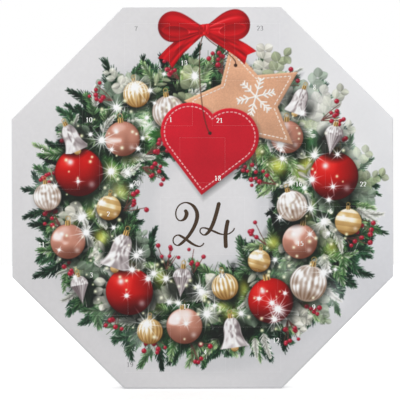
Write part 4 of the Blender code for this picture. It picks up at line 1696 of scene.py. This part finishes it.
# %% Glass holder
corner_steps = 12
holder_corner = 11 * mm
holder_flare = 0.6 * mm
holder_floor = 3 * mm
holder_polish, holder_lip = 1.5 * mm, 0.7 * mm
polish_steps = 5
bore_radius = 20.3 * mm
glass_grain, glass_roughness = (120.0, 0.05), (0.02, 0.07)


def closed_loop(bm, places):
    """A loop of edges through places."""
    corners = [bm.verts.new(place) for place in places]
    return [bm.edges.new(pair) for pair in zip(corners, corners[1:] + corners[:1])]


def rounded_outline(bm, width, height, corner, level):
    """A loop of edges round a rectangle with round corners."""
    places = []
    for quarter in range(4):
        right, up = (1 if quarter in (0, 3) else -1), (1 if quarter in (0, 1) else -1)
        for step in range(corner_steps + 1):
            turn = (quarter + step / corner_steps) * math.pi / 2
            x, y = moved(right * (width / 2 - corner), up * (height / 2 - corner), turn, corner)
            places.append((x, y, level))
    return closed_loop(bm, places)


def round_outline(bm, radius, level):
    """A loop of edges round a circle with as many points as the outline."""
    count = 4 * (corner_steps + 1)
    turns = ((step + 0.5) * math.tau / count for step in range(count))
    return closed_loop(bm, [(*moved(0, 0, turn, radius), level) for turn in turns])


def skin_loops(bm, loops):
    """Bridge a stack of loops."""
    for lower, upper in zip(loops, loops[1:]):
        bmesh.ops.bridge_loops(bm, edges=lower + upper)


def holder_loops(bm, length, width, height):
    """The loops of the holder: its outside from the foot up, and its bore from the rim down."""
    polish, lip = holder_polish, holder_lip
    grown = arc(-polish, polish, polish, -90, 0, polish_steps)
    grown += arc(holder_flare - polish, height - polish, polish, 0, 90, polish_steps)
    outside = [rounded_outline(bm, length + 2 * grow, width + 2 * grow, holder_corner + grow, level)
               for grow, level in grown]
    bore = arc(bore_radius + lip, height - lip, lip, 90, 180, polish_steps)
    bore += [(bore_radius, holder_floor + lip), (bore_radius - 0.3 * lip, holder_floor + 0.3 * lip),
             (bore_radius - lip, holder_floor)]
    return outside, [round_outline(bm, radius, level) for radius, level in bore]


def glass_material():
    """Pressed glass with a faint waviness."""
    material, tree, shader = new_material("pressed_glass", Base_Color=(0.95, 0.985, 0.98, 1), Alpha=0.55,
                                          Transmission_Weight=1.0, IOR=1.52)
    grain = add_grain(tree, shader, *glass_grain)
    vary(tree, grain.outputs["Broad"], *glass_roughness, shader.inputs["Roughness"])
    return material


def glass_holder():
    """The smooth glass holder in the place of the faceted one."""
    low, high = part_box("glass_holder")
    bm = bmesh.new()
    outside, bore = holder_loops(bm, high.x - low.x - 2 * holder_flare, high.z - low.z - 2 * holder_flare,
                                 high.y - low.y)
    skin_loops(bm, outside)
    skin_loops(bm, bore)
    bmesh.ops.triangle_fill(bm, use_beauty=True, edges=outside[-1] + bore[0], normal=(0, 0, 1))
    bmesh.ops.edgeloop_fill(bm, edges=outside[0])
    bmesh.ops.edgeloop_fill(bm, edges=bore[-1])
    bmesh.ops.recalc_face_normals(bm, faces=bm.faces)
    bmesh.ops.transform(bm, matrix=forwards_from(low, high), verts=bm.verts)
    piece = finished_piece("holder_glass", bm, glass_material(), "case")
    smooth_over(piece)
    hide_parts("glass_holder")
    return piece


holder = glass_holder()
print("glass holder of", len(holder.data.polygons), "faces")

# %% [markdown]
# The photograph is a plain product shot on white, taken square to the front. The floor and the
# world show white to the camera and in reflections, and still take part in the lighting at a
# plain level. Two large soft lamps in front give the varnish something to reflect, and one behind
# lights the back.

# %% Floor, light and camera
floor_size, floor_drop = 6.0, 0.2 * mm
# How far off the floor's own light starts and ends to grow, and how strong it is there
floor_reach, floor_glow = (0.4, 1.3), (0.38, 0.90)
surround = 0.55
camera_distance = 1.6
camera_aim = Vector((-0.0025, front_y, 0.1829))
camera_roll = math.radians(0.165)
focal_in_pixels = 1650
photo_width = 400
sensor_width = 36
lamps = (
    # name, place, width and height, power
    ("lamp_left", (-1.3, -1.9, 1.5), (1.4, 1.4), 26),
    ("lamp_right", (1.5, -1.7, 1.1), (1.2, 1.6), 15),
    ("lamp_back", (0.6, 2.0, 1.4), (1.6, 1.6), 18),
)


def seen_directly(tree):
    """One for what the camera sees straight, in a reflection or through glass, zero for light."""
    path = tree.nodes.new("ShaderNodeLightPath")
    straight = math_node(tree, "MAXIMUM", path.outputs["Is Camera Ray"], path.outputs["Is Glossy Ray"])
    return math_node(tree, "MAXIMUM", straight, path.outputs["Is Transmission Ray"])


def floor_material():
    """Pale studio floor: white to the eye further off, with a soft shadow where something stands."""
    material, tree, shader = new_material("studio_floor", Base_Color=(0.80, 0.80, 0.80, 1), Roughness=0.9,
                                          Emission_Color=(1, 1, 1, 1))
    away = tree.nodes.new("ShaderNodeVectorMath")
    away.operation = "LENGTH"
    tree.links.new(own_place(tree), away.inputs[0])
    glow = add_node(tree, "ShaderNodeMapRange", From_Min=floor_reach[0], From_Max=floor_reach[1],
                    To_Min=floor_glow[0], To_Max=floor_glow[1])
    tree.links.new(away.outputs["Value"], glow.inputs["Value"])
    lift = math_node(tree, "MULTIPLY", seen_directly(tree), glow.outputs["Result"])
    tree.links.new(lift, shader.inputs["Emission Strength"])
    return material


def make_floor():
    """A wide flat floor under the box."""
    bm = bmesh.new()
    bmesh.ops.create_grid(bm, x_segments=4, y_segments=4, size=floor_size / 2)
    bmesh.ops.translate(bm, verts=bm.verts, vec=(0, 0, -floor_drop))
    floor = new_object("floor", bm, floor_material())


def make_world():
    """An even pale surround that looks white."""
    world = bpy.data.worlds.new("studio")
    world.use_nodes = True
    bpy.context.scene.world = world
    tree = world.node_tree
    back = tree.nodes["Background"]
    back.inputs["Color"].default_value = (1, 1, 1, 1)
    brightness = math_node(tree, "MULTIPLY_ADD", seen_directly(tree), 1.0 - surround, surround)
    tree.links.new(brightness, back.inputs["Strength"])


def make_lamp(name, place, size, power):
    """A soft rectangular lamp that is turned to the panel."""
    lamp = bpy.data.objects.new(name, bpy.data.lights.new(name, "AREA"))
    lamp.data.shape = "RECTANGLE"
    lamp.data.size, lamp.data.size_y = size
    lamp.data.energy = power
    lamp.location = place
    lamp.rotation_euler = (Vector((0, 0, half_side)) - Vector(place)).to_track_quat("-Z", "Y").to_euler()
    bpy.context.scene.collection.objects.link(lamp)


def make_camera():
    """A camera square to the front face, turned by the photograph's small roll."""
    data = bpy.data.cameras.new("camera")
    data.sensor_width = sensor_width
    data.lens = focal_in_pixels / photo_width * sensor_width
    camera = bpy.data.objects.new("camera", data)
    camera.location = camera_aim + Vector((0, -camera_distance, 0))
    turn = Matrix.Rotation(math.pi / 2, 3, "X") @ Matrix.Rotation(-camera_roll, 3, "Z")
    camera.rotation_euler = turn.to_euler()
    bpy.context.scene.collection.objects.link(camera)
    bpy.context.scene.camera = camera


make_floor()
make_world()
for lamp in lamps:
    make_lamp(*lamp)
make_camera()
bpy.context.scene.view_settings.view_transform = "Standard"
print("camera at", tuple(round(value, 3) for value in bpy.context.scene.camera.location))
